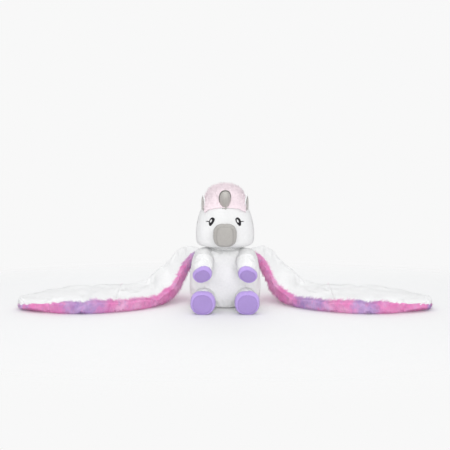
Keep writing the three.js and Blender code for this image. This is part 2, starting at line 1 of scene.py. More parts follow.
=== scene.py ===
"""Looks of a sitting plush unicorn with long bead-weighted wings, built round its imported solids."""

import json
import math

import bmesh
import bpy
import numpy as np
from bpy.props import FloatProperty, FloatVectorProperty, IntProperty, PointerProperty
from bpy.types import Operator, Panel, PropertyGroup
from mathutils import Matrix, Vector, noise


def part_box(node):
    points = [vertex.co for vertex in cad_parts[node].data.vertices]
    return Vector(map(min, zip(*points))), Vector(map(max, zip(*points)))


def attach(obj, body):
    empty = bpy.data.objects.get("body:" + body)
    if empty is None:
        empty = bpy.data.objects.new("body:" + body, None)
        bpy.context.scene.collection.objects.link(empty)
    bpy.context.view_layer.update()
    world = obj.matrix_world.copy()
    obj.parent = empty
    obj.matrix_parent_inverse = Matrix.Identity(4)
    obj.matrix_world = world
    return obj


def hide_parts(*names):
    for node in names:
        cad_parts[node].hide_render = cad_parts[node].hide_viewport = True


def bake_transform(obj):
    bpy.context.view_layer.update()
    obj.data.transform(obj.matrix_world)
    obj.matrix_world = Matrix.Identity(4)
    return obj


bl_info = {
    "name": "Weighted Plush Unicorn",
    "version": (1, 0, 0),
    "blender": (4, 5, 0),
    "location": "3D View > Sidebar > Unicorn",
    "description": "Dresses the packed solids of a sitting plush unicorn in pile, fur and silver cloth",
    "category": "Object",
}

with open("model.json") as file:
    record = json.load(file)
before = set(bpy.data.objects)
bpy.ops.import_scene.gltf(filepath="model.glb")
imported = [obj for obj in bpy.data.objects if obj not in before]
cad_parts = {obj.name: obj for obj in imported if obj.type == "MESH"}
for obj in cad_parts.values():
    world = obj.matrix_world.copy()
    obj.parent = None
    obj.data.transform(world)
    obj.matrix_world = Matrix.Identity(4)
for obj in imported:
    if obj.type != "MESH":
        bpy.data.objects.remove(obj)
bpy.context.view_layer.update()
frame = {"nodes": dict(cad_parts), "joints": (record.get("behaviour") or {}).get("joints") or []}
JOINTS = {joint["name"]: joint for joint in frame["joints"]}
SIDES = (("right", -1), ("left", 1))
UP = np.array((0.0, 0.0, 1.0))
AHEAD = np.array((0.0, -1.0, 0.0))


# Sizes and colours that a user would change


def length(name, default, text):
    settings = {"min": 0, "subtype": "DISTANCE", "unit": "LENGTH"}
    return FloatProperty(name=name, description=text, default=default, **settings)


def turning(name, degrees, text):
    return FloatProperty(name=name, description=text, default=math.radians(degrees), subtype="ANGLE")


def colour(name, default, text):
    settings = {"size": 3, "min": 0, "max": 1, "subtype": "COLOR"}
    return FloatVectorProperty(name=name, description=text, default=default, **settings)


class UnicornSizes(PropertyGroup):
    torso_width: length("Torso width", 0.172, "Across the torso at its widest")
    torso_depth: length("Torso depth", 0.134, "Front to back of the torso")
    torso_height: length("Torso height", 0.139, "From the seat to the top of the torso")
    head_width: length("Head width", 0.142, "Across the cheeks")
    head_depth: length("Head depth", 0.124, "Front to back of the head, without the snout")
    head_bottom: length("Chin height", 0.143, "Height of the underside of the head")
    head_top: length("Crown height", 0.289, "Height of the crown under the mane")
    wing_reach: length("Wing reach", 0.504, "From the middle of the toy to a wing tip")
    wing_chord: length("Wing chord", 0.244, "Front to back of a wing at its widest")
    wing_thickness: length("Wing thickness", 0.027, "Thickness of a filled wing")
    wing_seam: length("Wing root seam", 0.036, "Length of the seam that holds a wing")


class UnicornPile(PropertyGroup):
    nap: length("Nap", 0.0017, "Length of the short pile")
    mane: length("Mane", 0.0115, "Length of the hair on the crown")
    fur: length("Wing fur", 0.0105, "Length of the fur under the wings")
    seed: IntProperty(name="Seed", description="Seed for every scattered strand", default=7, min=0)


class UnicornColours(PropertyGroup):
    white: colour("White", (0.84, 0.84, 0.84), "Plush of the body and the tops of the wings")
    lavender: colour("Lavender", (0.44, 0.31, 0.68), "Hooves")
    silver: colour("Silver", (0.43, 0.412, 0.39), "Snout, horn and ear linings")
    mane: colour("Mane", (0.93, 0.79, 0.84), "Hair on the crown")
    hot_pink: colour("Hot pink", (0.8, 0.24, 0.52), "Main dye of the wing fur")
    pale_pink: colour("Pale pink", (0.82, 0.42, 0.65), "Thin dye of the wing fur")
    purple: colour("Purple", (0.42, 0.27, 0.56), "Second dye of the wing fur")
    lilac: colour("Lilac", (0.62, 0.42, 0.7), "Thin second dye of the wing fur")
    thread: colour("Thread", (0.012, 0.01, 0.014), "Embroidery of the eyes")


def sizes():
    return bpy.context.scene.unicorn_sizes


def pile():
    return bpy.context.scene.unicorn_pile


def tint(source, brightness=1.0):
    """A colour by its name in the settings, or as three numbers, made lighter or darker."""
    rgb = getattr(bpy.context.scene.unicorn_colours, source) if isinstance(source, str) else source
    return tuple(min(1.0, c * brightness) for c in rgb)


# Forms: rings of points, closed at both ends by a pole

POLE_GAP = 0.35  # share of a ring's step that is left round the pole of a flat end
LUMP_SHIFT = (3.1, 1.7, 2.3)  # moves the noise to another place for each seed


def unit(v):
    v = np.asarray(v, float)
    return v / np.linalg.norm(v)


def curve_at(points, t):
    """The point at share t of a smooth curve through the points, counted evenly from point to point."""
    points = np.asarray(points, float)
    last = len(points) - 1
    i = min(int(t * last), last - 1)
    w = t * last - i
    before = points[i - 1] if i > 0 else 2 * points[0] - points[1]
    after = points[i + 2] if i + 2 <= last else 2 * points[last] - points[last - 1]
    p = [before, points[i], points[i + 1], after]
    d = [max(np.linalg.norm(p[k + 1] - p[k]) ** 0.5, 1e-6) for k in range(3)]
    a = d[1] * ((p[1] - p[0]) / d[0] - (p[2] - p[0]) / (d[0] + d[1]) + (p[2] - p[1]) / d[1])
    b = d[1] * ((p[2] - p[1]) / d[1] - (p[3] - p[1]) / (d[1] + d[2]) + (p[3] - p[2]) / d[2])
    c2 = -3 * p[1] + 3 * p[2] - 2 * a - b
    c3 = 2 * p[1] - 2 * p[2] + a + b
    return p[1] + w * (a + w * (c2 + w * c3))


def turns(sides):
    """Angles spread evenly round a circle."""
    return np.arange(sides) * 2 * math.pi / sides


def stuffed(origin, axis, over, stations, power, steps, sides):
    """Superellipse rings along an axis. A station is (distance, half width, half height)."""
    axis = unit(axis)
    over = unit(over - np.dot(over, axis) * axis)
    side = np.cross(axis, over)
    c, s = np.cos(turns(sides)), np.sin(turns(sides))
    reach = (np.abs(c) ** power + np.abs(s) ** power) ** (-1 / power)
    rings = []
    for i in range(steps + 1):
        t, wide, high = curve_at(stations, i / steps)
        ring = origin + t * axis + np.outer(c * reach * wide, side) + np.outer(s * reach * high, over)
        rings.append(ring)
    return np.array(rings)


def round_stations(rows, radius):
    """Stations of a round form from (distance, share of its radius)."""
    return [(t, r * radius, r * radius) for t, r in rows]


def capped(rings, start=0, end=0, dome=0.0):
    """The rings with so many more that close the start as a flat panel, and the end with a slight dome."""
    ends = ((start, rings[0], rings[1], 0.0), (end, rings[-1], rings[-2], dome))
    caps = []
    for count, ring, beside, rise in ends:
        middle = ring.mean(0)
        out = unit(middle - beside.mean(0))
        shares = [1 - (k + 1) / (count + POLE_GAP) for k in range(count)]
        cap = [middle + (ring - middle) * f + out * rise * (1 - f * f) for f in shares]
        caps.append(np.array(cap).reshape(-1, *ring.shape))
    return np.concatenate([caps[0][::-1], rings, caps[1]])


def cubic(rows, factor):
    """Rows of points with more rows between them on smooth curves. rows has one spare row at each end."""
    p0, p1, p2, p3 = rows[:-3], rows[1:-2], rows[2:-1], rows[3:]
    out = []
    for w in np.arange(factor) / factor:
        bend = 2 * p0 - 5 * p1 + 4 * p2 - p3 + w * (3 * (p1 - p2) + p3 - p0)
        out.append(p1 + 0.5 * w * (p2 - p0 + w * bend))
    return np.stack(out, 1).reshape(-1, *rows.shape[1:])


def finer(rings, factor):
    """The same rings with more points along and around, on smooth curves."""
    first, last = 2 * rings[0] - rings[1], 2 * rings[-1] - rings[-2]
    rings = np.concatenate([cubic(np.concatenate([[first], rings, [last]]), factor), rings[-1:]])
    turned = rings.transpose(1, 0, 2)
    wrapped = np.concatenate([turned[-1:], turned, turned[:2]])
    return cubic(wrapped, factor).transpose(1, 0, 2)


def mesh_of(name, rings):
    """A closed mesh through the rings, with a UV map along and around them."""
    rows, sides = rings.shape[:2]
    points = rings.reshape(-1, 3)
    start, end = len(points), len(points) + 1
    points = np.concatenate([points, [rings[0].mean(0)], [rings[-1].mean(0)]])
    last = (rows - 1) * sides
    faces, uvs = [], []
    for a in range(rows - 1):
        for b in range(sides):
            here, beside = a * sides + b, a * sides + (b + 1) % sides
            faces.append((here, beside, beside + sides, here + sides))
            uvs += [(a, b), (a, b + 1), (a + 1, b + 1), (a + 1, b)]
    for b in range(sides):
        c = (b + 1) % sides
        faces += [(start, c, b), (end, last + b, last + c)]
        uvs += [(0, b + 0.5), (0, b + 1), (0, b)]
        uvs += [(rows - 1, b + 0.5), (rows - 1, b), (rows - 1, b + 1)]
    mesh = bpy.data.meshes.new(name)
    mesh.from_pydata(points.tolist(), [], faces)
    flat = np.array(uvs, float) / (rows - 1, sides)
    mesh.uv_layers.new(name="Cloth").data.foreach_set("uv", flat.ravel())
    return outward(mesh)


def outward(mesh):
    """The mesh with its faces pointing out and shaded smooth."""
    work = bmesh.new()
    work.from_mesh(mesh)
    if work.calc_volume(signed=True) < 0:
        bmesh.ops.reverse_faces(work, faces=work.faces)
    for face in work.faces:
        face.smooth = True
    work.to_mesh(mesh)
    work.free()
    return mesh


def tube(name, path, radius, made, sides=8):
    """A round cord along a path, closed at both ends."""
    angle = turns(sides)
    rings = []
    for point, way in zip(path, np.gradient(path, axis=0)):
        first = unit(np.cross(unit(way), AHEAD))
        second = np.cross(unit(way), first)
        rings.append(point + radius * (np.outer(np.cos(angle), first) + np.outer(np.sin(angle), second)))
    return placed(mesh_of(name, np.array(rings)), made)


def linked(name, mesh):
    obj = bpy.data.objects.new(name, mesh)
    bpy.context.scene.collection.objects.link(obj)
    return obj


def placed(mesh, made):
    mesh.materials.append(made)
    return linked(mesh.name, mesh)


def vectors(layer, key="vector"):
    """The three numbers of each item of a mesh's layer."""
    values = np.empty(len(layer) * 3, np.float32)
    layer.foreach_get(key, values)
    return values.reshape(-1, 3)


def normals_of(mesh):
    return vectors(mesh.vertex_normals)


def points_of(mesh):
    return vectors(mesh.vertices, "co")


def noted(mesh, name, values):
    """Writes a number or a vector for each point of a mesh."""
    values = np.asarray(values, np.float32)
    kind, key = ("FLOAT", "value") if values.ndim == 1 else ("FLOAT_VECTOR", "vector")
    mesh.attributes.new(name, kind, "POINT").data.foreach_set(key, values.ravel())
    return mesh


def ring_normals(rings):
    mesh = mesh_of("scratch", rings)
    found = normals_of(mesh)[: rings.shape[0] * rings.shape[1]].reshape(rings.shape)
    bpy.data.meshes.remove(mesh)
    return found


def lumps(points, size, seed):
    """Smooth noise from -1 to 1 at each point, with lumps of about that size."""
    shift = Vector([seed * step for step in LUMP_SHIFT])
    values = [noise.noise(Vector(p) / size + shift) for p in points.reshape(-1, 3)]
    return np.array(values).reshape(points.shape[:-1])


def raised(points, normals, height):
    """Points moved out by a height for each."""
    return points + normals * height[..., None]


def lumpy(rings, normals, high, size, seed):
    """Rings with soft lumps of about that height and size."""
    return raised(rings, normals, high * lumps(rings, size, seed))


def groove(points, normals, distance, width, depth):
    """Points sunk along a seam: distance is how far each is from the seam."""
    return raised(points, normals, -depth * np.exp(-((distance / width) ** 2)))


def on_floor(rings):
    """The rings with nothing below the floor."""
    return np.concatenate([rings[..., :2], np.maximum(rings[..., 2:], 0.0)], -1)


def applied(obj):
    """Turns a piece's modifiers into its mesh."""
    bpy.context.view_layer.update()
    deps = bpy.context.evaluated_depsgraph_get()
    seen = obj.evaluated_get(deps)
    mesh = bpy.data.meshes.new_from_object(seen, preserve_all_data_layers=True, depsgraph=deps)
    mesh.name = obj.data.name
    obj.modifiers.clear()
    obj.data = mesh
    return obj


# Filling: each cover is cloth that is a little too large, held at its seams and pressed from inside

SIM_FRAMES = 16
MOST_DENT = 0.001  # so that what is inside never shows through
CLOTH = {
    "quality": 5,
    "mass": 0.25,
    "air_damping": 4,
    "tension_stiffness": 12,
    "compression_stiffness": 12,
    "shear_stiffness": 6,
    "bending_stiffness": 0.4,
    "use_pressure": True,
    "vertex_group_mass": "seams",
}


def filled(rings, held, pressure, slack, most):
    """The cover after filling. held is how firmly each point stays and most how far one may move."""
    mesh = mesh_of("cover", rings)
    obj = linked("cover", mesh)
    scene = bpy.context.scene
    group = obj.vertex_groups.new(name="seams")
    flat = held.reshape(-1)
    for index in np.nonzero(flat)[0]:
        group.add([int(index)], float(flat[index]), "REPLACE")
    group.add([len(flat), len(flat) + 1], 1.0, "REPLACE")
    cloth = obj.modifiers.new("Filling", "CLOTH")
    for name, value in CLOTH.items():
        setattr(cloth.settings, name, value)
    cloth.settings.uniform_pressure_force = pressure
    cloth.settings.shrink_min = -slack
    cloth.settings.effector_weights.gravity = 0
    cloth.collision_settings.use_collision = False
    cloth.point_cache.frame_start = 1
    cloth.point_cache.frame_end = SIM_FRAMES
    for step in range(1, SIM_FRAMES + 1):
        scene.frame_set(step)
    evaluated = obj.evaluated_get(bpy.context.evaluated_depsgraph_get())
    after = points_of(evaluated.data)[: len(flat)].reshape(rings.shape).astype(float)
    scene.frame_set(1)
    bpy.data.objects.remove(obj)
    bpy.data.meshes.remove(mesh)
    move = after - rings
    normals = ring_normals(rings)
    depth = np.maximum(-(move * normals).sum(-1, keepdims=True) - MOST_DENT, 0)
    move += normals * depth
    far = np.linalg.norm(move, axis=-1, keepdims=True)
    return rings + move * np.minimum(1, most / np.maximum(far, 1e-9))


def stuffed_cover(rings, held, fine, start=0, end=0, dome=0.0, **filling):
    """A cover closed by ends that stay as they are, filled, with smooth points between."""
    held = np.pad(held, ((start, end), (0, 0)), constant_values=1)
    return finer(filled(capped(rings, start, end, dome), held, **filling), fine)


# Nodes


def add(tree, kind, inputs=None, **settings):
    """A node with its settings, and its inputs set to values or linked from sockets."""
    node = tree.nodes.new(kind)
    for name, value in settings.items():
        setattr(node, name, value)
    for key, value in (inputs or {}).items():
        socket = node.inputs[key]
        if isinstance(value, bpy.types.NodeSocket):
            tree.links.new(value, socket)
        else:
            socket.default_value = value
    return node


def new_tree(name, kind, inputs, outputs):
    """A node group with its sockets. inputs gives (type, default) and outputs the type for each name."""
    tree = bpy.data.node_groups.new(name, kind)
    for label, (socket_kind, default) in inputs.items():
        socket = tree.interface.new_socket(label, in_out="INPUT", socket_type="NodeSocket" + socket_kind)
        if default is not None:
            socket.default_value = default
    for label, socket_kind in outputs.items():
        tree.interface.new_socket(label, in_out="OUTPUT", socket_type="NodeSocket" + socket_kind)
    return tree, tree.nodes.new("NodeGroupInput").outputs, tree.nodes.new("NodeGroupOutput").inputs


def shared(name, maker):
    """A node group that is built once and then used again."""
    return bpy.data.node_groups.get(name) or maker(name)


def math_node(tree, operation, a, b=0.0):
    return add(tree, "ShaderNodeMath", {0: a, 1: b}, operation=operation).outputs[0]


def sum_of(tree, a, a_share, b, b_share):
    parts = [math_node(tree, "MULTIPLY", value, share) for value, share in ((a, a_share), (b, b_share))]
    return math_node(tree, "ADD", *parts)


def ramp(tree, value, low=0.0, high=1.0, start=0.0, end=1.0, kind="LINEAR"):
    """From start to end while the value goes from low to high."""
    inputs = {0: value, 1: low, 2: high, 3: start, 4: end}
    return add(tree, "ShaderNodeMapRange", inputs, interpolation_type=kind).outputs[0]


def mix_colour(tree, share, a, b):
    ends = [rgb if isinstance(rgb, bpy.types.NodeSocket) else (*rgb, 1) for rgb in (a, b)]
    return add(tree, "ShaderNodeMix", {0: share, 6: ends[0], 7: ends[1]}, data_type="RGBA").outputs[2]


def noise_on(tree, scale, detail, seed=0.0, rough=0.55, distortion=0.0, place=None):
    """A noise on object coordinates, or on another place. scale and seed are numbers or sockets."""
    place = place or add(tree, "ShaderNodeTexCoord").outputs["Object"]
    inputs = {"Vector": place, "Scale": scale, "Detail": detail, "Roughness": rough, "W": seed}
    inputs["Distortion"] = distortion
    return add(tree, "ShaderNodeTexNoise", inputs, noise_dimensions="4D").outputs[0]


# Shared shader groups

PATCHES = 28.0  # to a metre, where the pile is brushed one way and its painted sheen changes
GRAIN = 900.0  # ends of the pile to a metre
CLUMP_GRAIN = 0.22  # of the grain
PURPLE_PATCHES = (  # place across the wings and half width
    (-0.487, 0.012),
    (-0.333, 0.042),
    (-0.072, 0.02),
    (0.205, 0.026),
    (0.331, 0.023),
    (0.496, 0.008),
)
PATCH_OUTER, PATCH_INNER = 2.0, 0.3  # where a patch begins and is full, in half widths
RAGGED = 0.11  # how far the edges of the dye wander
GLINTS = 0.7  # of the threads
DYED_GRAIN = 420.0  # of the cloth under the dyed fur


def pile_group(name):
    """Nap of a pile fabric: brushed patches, which give a painted sheen, and the fine ends of the pile."""
    inputs = {"Patch": ("Float", PATCHES), "Grain": ("Float", GRAIN)}
    group, given, result = new_tree(name, "ShaderNodeTree", inputs, {"Brushed": "Float", "Height": "Float"})
    patch = noise_on(group, given["Patch"], detail=3)
    tuft = noise_on(group, given["Grain"], detail=2)
    clumps = noise_on(group, math_node(group, "MULTIPLY", given["Grain"], CLUMP_GRAIN), detail=2)
    group.links.new(sum_of(group, patch, 0.6, clumps, 0.4), result["Brushed"])
    group.links.new(sum_of(group, tuft, 0.35, clumps, 0.65), result["Height"])
    return group


def strand_group(name):
    """How far up its strand a point is, and a tone of the strand's own."""
    group, _, result = new_tree(name, "ShaderNodeTree", {}, {"Along": "Float", "Tone": "Float"})
    for label in ("along", "tone"):
        value = add(group, "ShaderNodeAttribute", attribute_name=label).outputs["Fac"]
        group.links.new(value, result[label.capitalize()])
    return group


def dye_group(name):
    """Two dyes: purple bands at places across the wings with ragged edges, pink between, thick and thin."""
    inputs = {label: ("Color", None) for label in ("Hot", "Pale", "Purple", "Lilac")}
    group, given, result = new_tree(name, "ShaderNodeTree", inputs, {"Dye": "Color"})
    spot = add(group, "ShaderNodeAttribute", attribute_name="spot").outputs["Vector"]

    def blots(scale, seed):
        return noise_on(group, scale, detail=3, seed=seed, rough=0.6, place=spot)

    wander = math_node(group, "SUBTRACT", blots(scale=38.0, seed=2.0), 0.5)
    ragged = math_node(group, "MULTIPLY", wander, RAGGED)
    across = math_node(group, "ADD", add(group, "ShaderNodeSeparateXYZ", {0: spot}).outputs[0], ragged)
    which = 0.0
    for centre, half in PURPLE_PATCHES:
        away = math_node(group, "ABSOLUTE", math_node(group, "SUBTRACT", across, centre))
        band = ramp(group, away, half * PATCH_OUTER, half * PATCH_INNER, kind="SMOOTHSTEP")
        which = math_node(group, "MAXIMUM", band, which)
    thin = ramp(group, blots(scale=30.0, seed=7.0), low=0.42, high=0.68)
    pinks = mix_colour(group, thin, given["Hot"], given["Pale"])
    purples = mix_colour(group, thin, given["Purple"], given["Lilac"])
    flecks = ramp(group, blots(scale=150.0, seed=11.0), low=0.54, high=0.66, end=0.55)
    flecked = math_node(group, "ABSOLUTE", math_node(group, "SUBTRACT", which, flecks))
    group.links.new(mix_colour(group, flecked, pinks, purples), result["Dye"])
    return group


def weave_group(name):
    """Crossed threads of a fine shiny cloth, with creases."""
    inputs = {"Threads": ("Float", 1500.0), "Creases": ("Float", 60.0)}
    group, given, result = new_tree(name, "ShaderNodeTree", inputs, {"Height": "Float", "Glint": "Float"})
    place = add(group, "ShaderNodeTexCoord").outputs["Object"]
    inputs = {"Vector": place, "Scale": given["Threads"], "Distortion": 0.6, "Detail": 1.0}
    waves = [add(group, "ShaderNodeTexWave", inputs, bands_direction=way).outputs[1] for way in ("X", "Z")]
    crossed = math_node(group, "MULTIPLY", *waves)
    crease = noise_on(group, given["Creases"], detail=4, seed=2.0, rough=0.6)
    group.links.new(sum_of(group, crossed, 0.2, crease, 0.8), result["Height"])
    glint = noise_on(group, math_node(group, "MULTIPLY", given["Threads"], GLINTS), detail=1, seed=5.0)
    group.links.new(glint, result["Glint"])
    return group


def use_group(tree, name, maker, inputs=None):
    node = add(tree, "ShaderNodeGroup", node_tree=shared(name, maker))
    for key, value in (inputs or {}).items():
        node.inputs[key].default_value = value
    return node.outputs


# Materials


def bare(name, rough, sheen=0.0, metal=0.0):
    made = bpy.data.materials.new(name)
    made.use_nodes = True
    shader = made.node_tree.nodes["Principled BSDF"]
    values = {
        "Roughness": rough,
        "Sheen Weight": sheen,
        "Sheen Roughness": 0.6,
        "Metallic": metal,
        "Specular IOR Level": 0.2,
    }
    for key, value in values.items():
        shader.inputs[key].default_value = value
    return made, made.node_tree, shader.inputs


def bumped(tree, shader, height, distance, strength=1.0):
    bump = add(tree, "ShaderNodeBump", {"Height": height, "Distance": distance, "Strength": strength})
    tree.links.new(bump.outputs[0], shader["Normal"])


def plush(name, source, brightness=1.0):
    """Short pile: a painted sheen, lighter and darker where it is brushed, with a fine grain."""
    made, tree, shader = bare(name, rough=0.95, sheen=0.25)
    rgb = tint(source, brightness)
    nap = use_group(tree, "pile_nap", pile_group)
    # painted sheen: brushed patches of the pile tinted lighter and darker
    tone = ramp(tree, nap["Brushed"], low=0.35, high=0.65)
    tree.links.new(mix_colour(tree, tone, tint(rgb, 0.93), tint(rgb, 1.02)), shader["Base Color"])
    bumped(tree, shader, nap["Height"], distance=0.0012, strength=0.6)
    return made


def strands(name, source, root, tip, tip_highlight=0.0):
    """Strands painted darker at the root as shade among them, each a little different, and whitened towards
    the tip as a painted highlight.
    """
    made, tree, shader = bare(name, rough=0.9)
    strand = use_group(tree, "strand_tone", strand_group)
    ends = tuple((1 - tip_highlight) * c + tip_highlight for c in tint(source, tip))
    # painted shade at the roots, painted highlight where the tips are lighter or whitened
    base = mix_colour(tree, ramp(tree, strand["Along"], high=0.8), tint(source, root), ends)
    own = ramp(tree, strand["Tone"], start=0.96, end=1.04)
    bright = add(tree, "ShaderNodeHueSaturation", {"Value": own, "Color": base}).outputs[0]
    tree.links.new(bright, shader["Base Color"])
    return made


def dyed(name, on_strands):
    """Tie-dyed fur, as strands with painted shade towards the root, or as the cloth under them."""
    made, tree, shader = bare(name, rough=0.9)
    dyes = {"Hot": "hot_pink", "Pale": "pale_pink", "Purple": "purple", "Lilac": "lilac"}
    inputs = {label: (*tint(source), 1) for label, source in dyes.items()}
    dye = use_group(tree, "tie_dye", dye_group, inputs)["Dye"]
    if on_strands:
        strand = use_group(tree, "strand_tone", strand_group)
        # painted shade: the dyed strands darker towards the root
        up = ramp(tree, strand["Along"], high=0.8, start=0.78, end=1.06)
        own = ramp(tree, strand["Tone"], start=0.93, end=1.1)
        value = math_node(tree, "MULTIPLY", up, own)
        dye = add(tree, "ShaderNodeHueSaturation", {"Value": value, "Color": dye}).outputs[0]
    else:
        nap = use_group(tree, "pile_nap", pile_group, {"Grain": DYED_GRAIN})
        bumped(tree, shader, nap["Height"], distance=0.004)
    tree.links.new(dye, shader["Base Color"])
    return made


def shiny(name, source, brightness, rough, metal, threads, creases):
    """Fine shiny cloth with a weave, glints painted into its colour and soft creases. threads and creases
    are to a metre.
    """
    made, tree, shader = bare(name, rough, sheen=0.1, metal=metal)
    rgb = tint(source, brightness)
    weave = use_group(tree, "shiny_weave", weave_group, {"Threads": threads, "Creases": creases})
    # painted glints: the colour lighter and darker with the glint noise
    tone = ramp(tree, weave["Glint"], low=0.3, high=0.7)
    tree.links.new(mix_colour(tree, tone, tint(rgb, 0.86), tint(rgb, 1.12)), shader["Base Color"])
    gloss = ramp(tree, weave["Glint"], start=rough + 0.08, end=rough - 0.1)
    tree.links.new(gloss, shader["Roughness"])
    bumped(tree, shader, weave["Height"], distance=0.0016, strength=0.5)
    return made


def stitched(name, source, brightness=1.0):
    """Satin thread, with a fine twist."""
    made, tree, shader = bare(name, rough=0.45, sheen=0.1)
    rgb = tint(source, brightness)
    twist = noise_on(tree, scale=1800.0, detail=2)
    tree.links.new(mix_colour(tree, twist, tint(rgb, 0.7), tint(rgb, 1.4)), shader["Base Color"])
    bumped(tree, shader, twist, distance=0.0004)
    return made


def loose_fibre(name, rgb):
    """Wisps of white filling."""
    made, tree, shader = bare(name, rough=1.0, sheen=0.3)
    wisp = noise_on(tree, scale=160.0, detail=5, seed=3.0, rough=0.7, distortion=1.2)
    tree.links.new(mix_colour(tree, wisp, tint(rgb, 0.82), rgb), shader["Base Color"])
    bumped(tree, shader, wisp, distance=0.003)
    return made


MATERIALS = {  # how each is made, then what its maker takes after the name
    "white_plush": (plush, "white"),
    # lit and shaded copies of the lavender: the lighter piled cuff is partly painted light, the darker
    # smooth sole partly painted shade
    "lavender_plush": (plush, "lavender", 1.12),
    "lavender_sole": (plush, "lavender", 0.84),
    "mane_cloth": (plush, "mane"),
    # root and tip brightness of the strands: darker roots are painted shade, lighter or whitened tips a
    # painted highlight
    "white_nap": (strands, "white", 0.99, 1.06),
    "lavender_nap": (strands, "lavender", 1.0, 1.0, 0.45),
    "mane_hair": (strands, "mane", 0.84, 1.04),
    "dyed_cloth": (dyed, False),
    "dyed_fur": (dyed, True),
    "snout_cloth": (shiny, "silver", 1.0, 0.62, 0.12, 1500.0, 40.0),
    # silver made lighter for the horn and ear linings, partly a painted highlight of the horn
    "horn_cloth": (shiny, "silver", 1.13, 0.42, 0.55, 1300.0, 90.0),
    # dark copy of the silver, for the cord of painted shade on the horn
    "dark_silver": (shiny, "silver", 0.36, 0.5, 0.3, 1300.0, 90.0),
    "bead_pouch": (shiny, (0.68, 0.65, 0.57), 1.0, 0.85, 0.0, 700.0, 30.0),
    "seam_thread": (stitched, "silver", 0.5),
    "black_thread": (stitched, "thread"),
    "white_thread": (stitched, (0.85, 0.85, 0.85)),
    "fibre_fill": (loose_fibre, (0.9, 0.9, 0.88)),
}


MADE = {}


def material(name):
    if name not in MADE:
        maker, *values = MATERIALS[name]
        MADE[name] = maker(name, *values)
    return MADE[name]


# Strands and stitches, set out by node trees

STRANDS = {  # half width at the root, lean of the tip and levels, for a strand one unit tall
    "nap_strand": (0.13, 0.35, 1),
    "fur_strand": (0.06, 0.3, 2),
    "mane_strand": (0.058, 0.35, 3),
}
STRAND_SIDES = 3
STRAND_TAPER = 0.75
SHORTEST, LONGEST = 0.55, 1.1  # of a strand's length
FLOOR_GAP = 0.0006
CELL_MARGIN = 0.06  # round a face in its cell of the UV map
FUR_SHARE = 0.6  # how far long strands keep their own normals, against those of the cloth under them
NAP_SHARE = 0.2
UNDER_NAP = 0.0015  # how far a cover lies inside its solid, to leave room for its pile
NAP_COMB = (0.0, -0.15, -0.5)
NAP_DENSITY = 3.4e5  # strands to a square metre


def strand_shape(name):
    """A three-sided strand one unit tall that tapers and leans over."""
    if name in bpy.data.objects:
        return bpy.data.objects[name]
    wide, bend, levels = STRANDS[name]
    points, faces = [], [(2, 1, 0)]
    for h in np.arange(levels) / levels:
        radius = wide * (1 - STRAND_TAPER * h)
        for a in turns(STRAND_SIDES):
            points.append((radius * math.cos(a) + bend * h * h, radius * math.sin(a), h))
    points.append((bend, 0, 1))
    around = [(j, (j + 1) % STRAND_SIDES) for j in range(STRAND_SIDES)]
    for low in range(0, STRAND_SIDES * (levels - 1), STRAND_SIDES):
        high = low + STRAND_SIDES
        faces += [(low + j, low + n, high + n, high + j) for j, n in around]
    top = STRAND_SIDES * (levels - 1)
    faces += [(top + j, top + n, STRAND_SIDES * levels) for j, n in around]
    mesh = bpy.data.meshes.new(name)
    mesh.from_pydata(points, [], faces)
    noted(mesh, "along", [point[2] for point in points])
    for face in mesh.polygons:
        face.use_smooth = True
    return bpy.data.objects.new(name, mesh)


def named(tree, label, kind):
    return add(tree, "GeometryNodeInputNamedAttribute", {"Name": label}, data_type=kind).outputs[0]


def vector_math(tree, operation, a, b):
    key = "Scale" if operation == "SCALE" else 1
    return add(tree, "ShaderNodeVectorMath", {0: a, key: b}, operation=operation).outputs[0]


def facing_way(tree, way):
    return add(tree, "FunctionNodeAlignRotationToVector", {"Vector": way}, axis="Z").outputs[0]


def realized(tree, stood, made, result):
    """Ends a tree: its instances made real and smooth, with a material."""
    real = add(tree, "GeometryNodeRealizeInstances", {"Geometry": stood}).outputs[0]
    smooth = add(tree, "GeometryNodeSetShadeSmooth", {"Geometry": real}).outputs[0]
    coated = add(tree, "GeometryNodeSetMaterial", {"Geometry": smooth, "Material": made}).outputs[0]
    tree.links.new(coated, result["Geometry"])


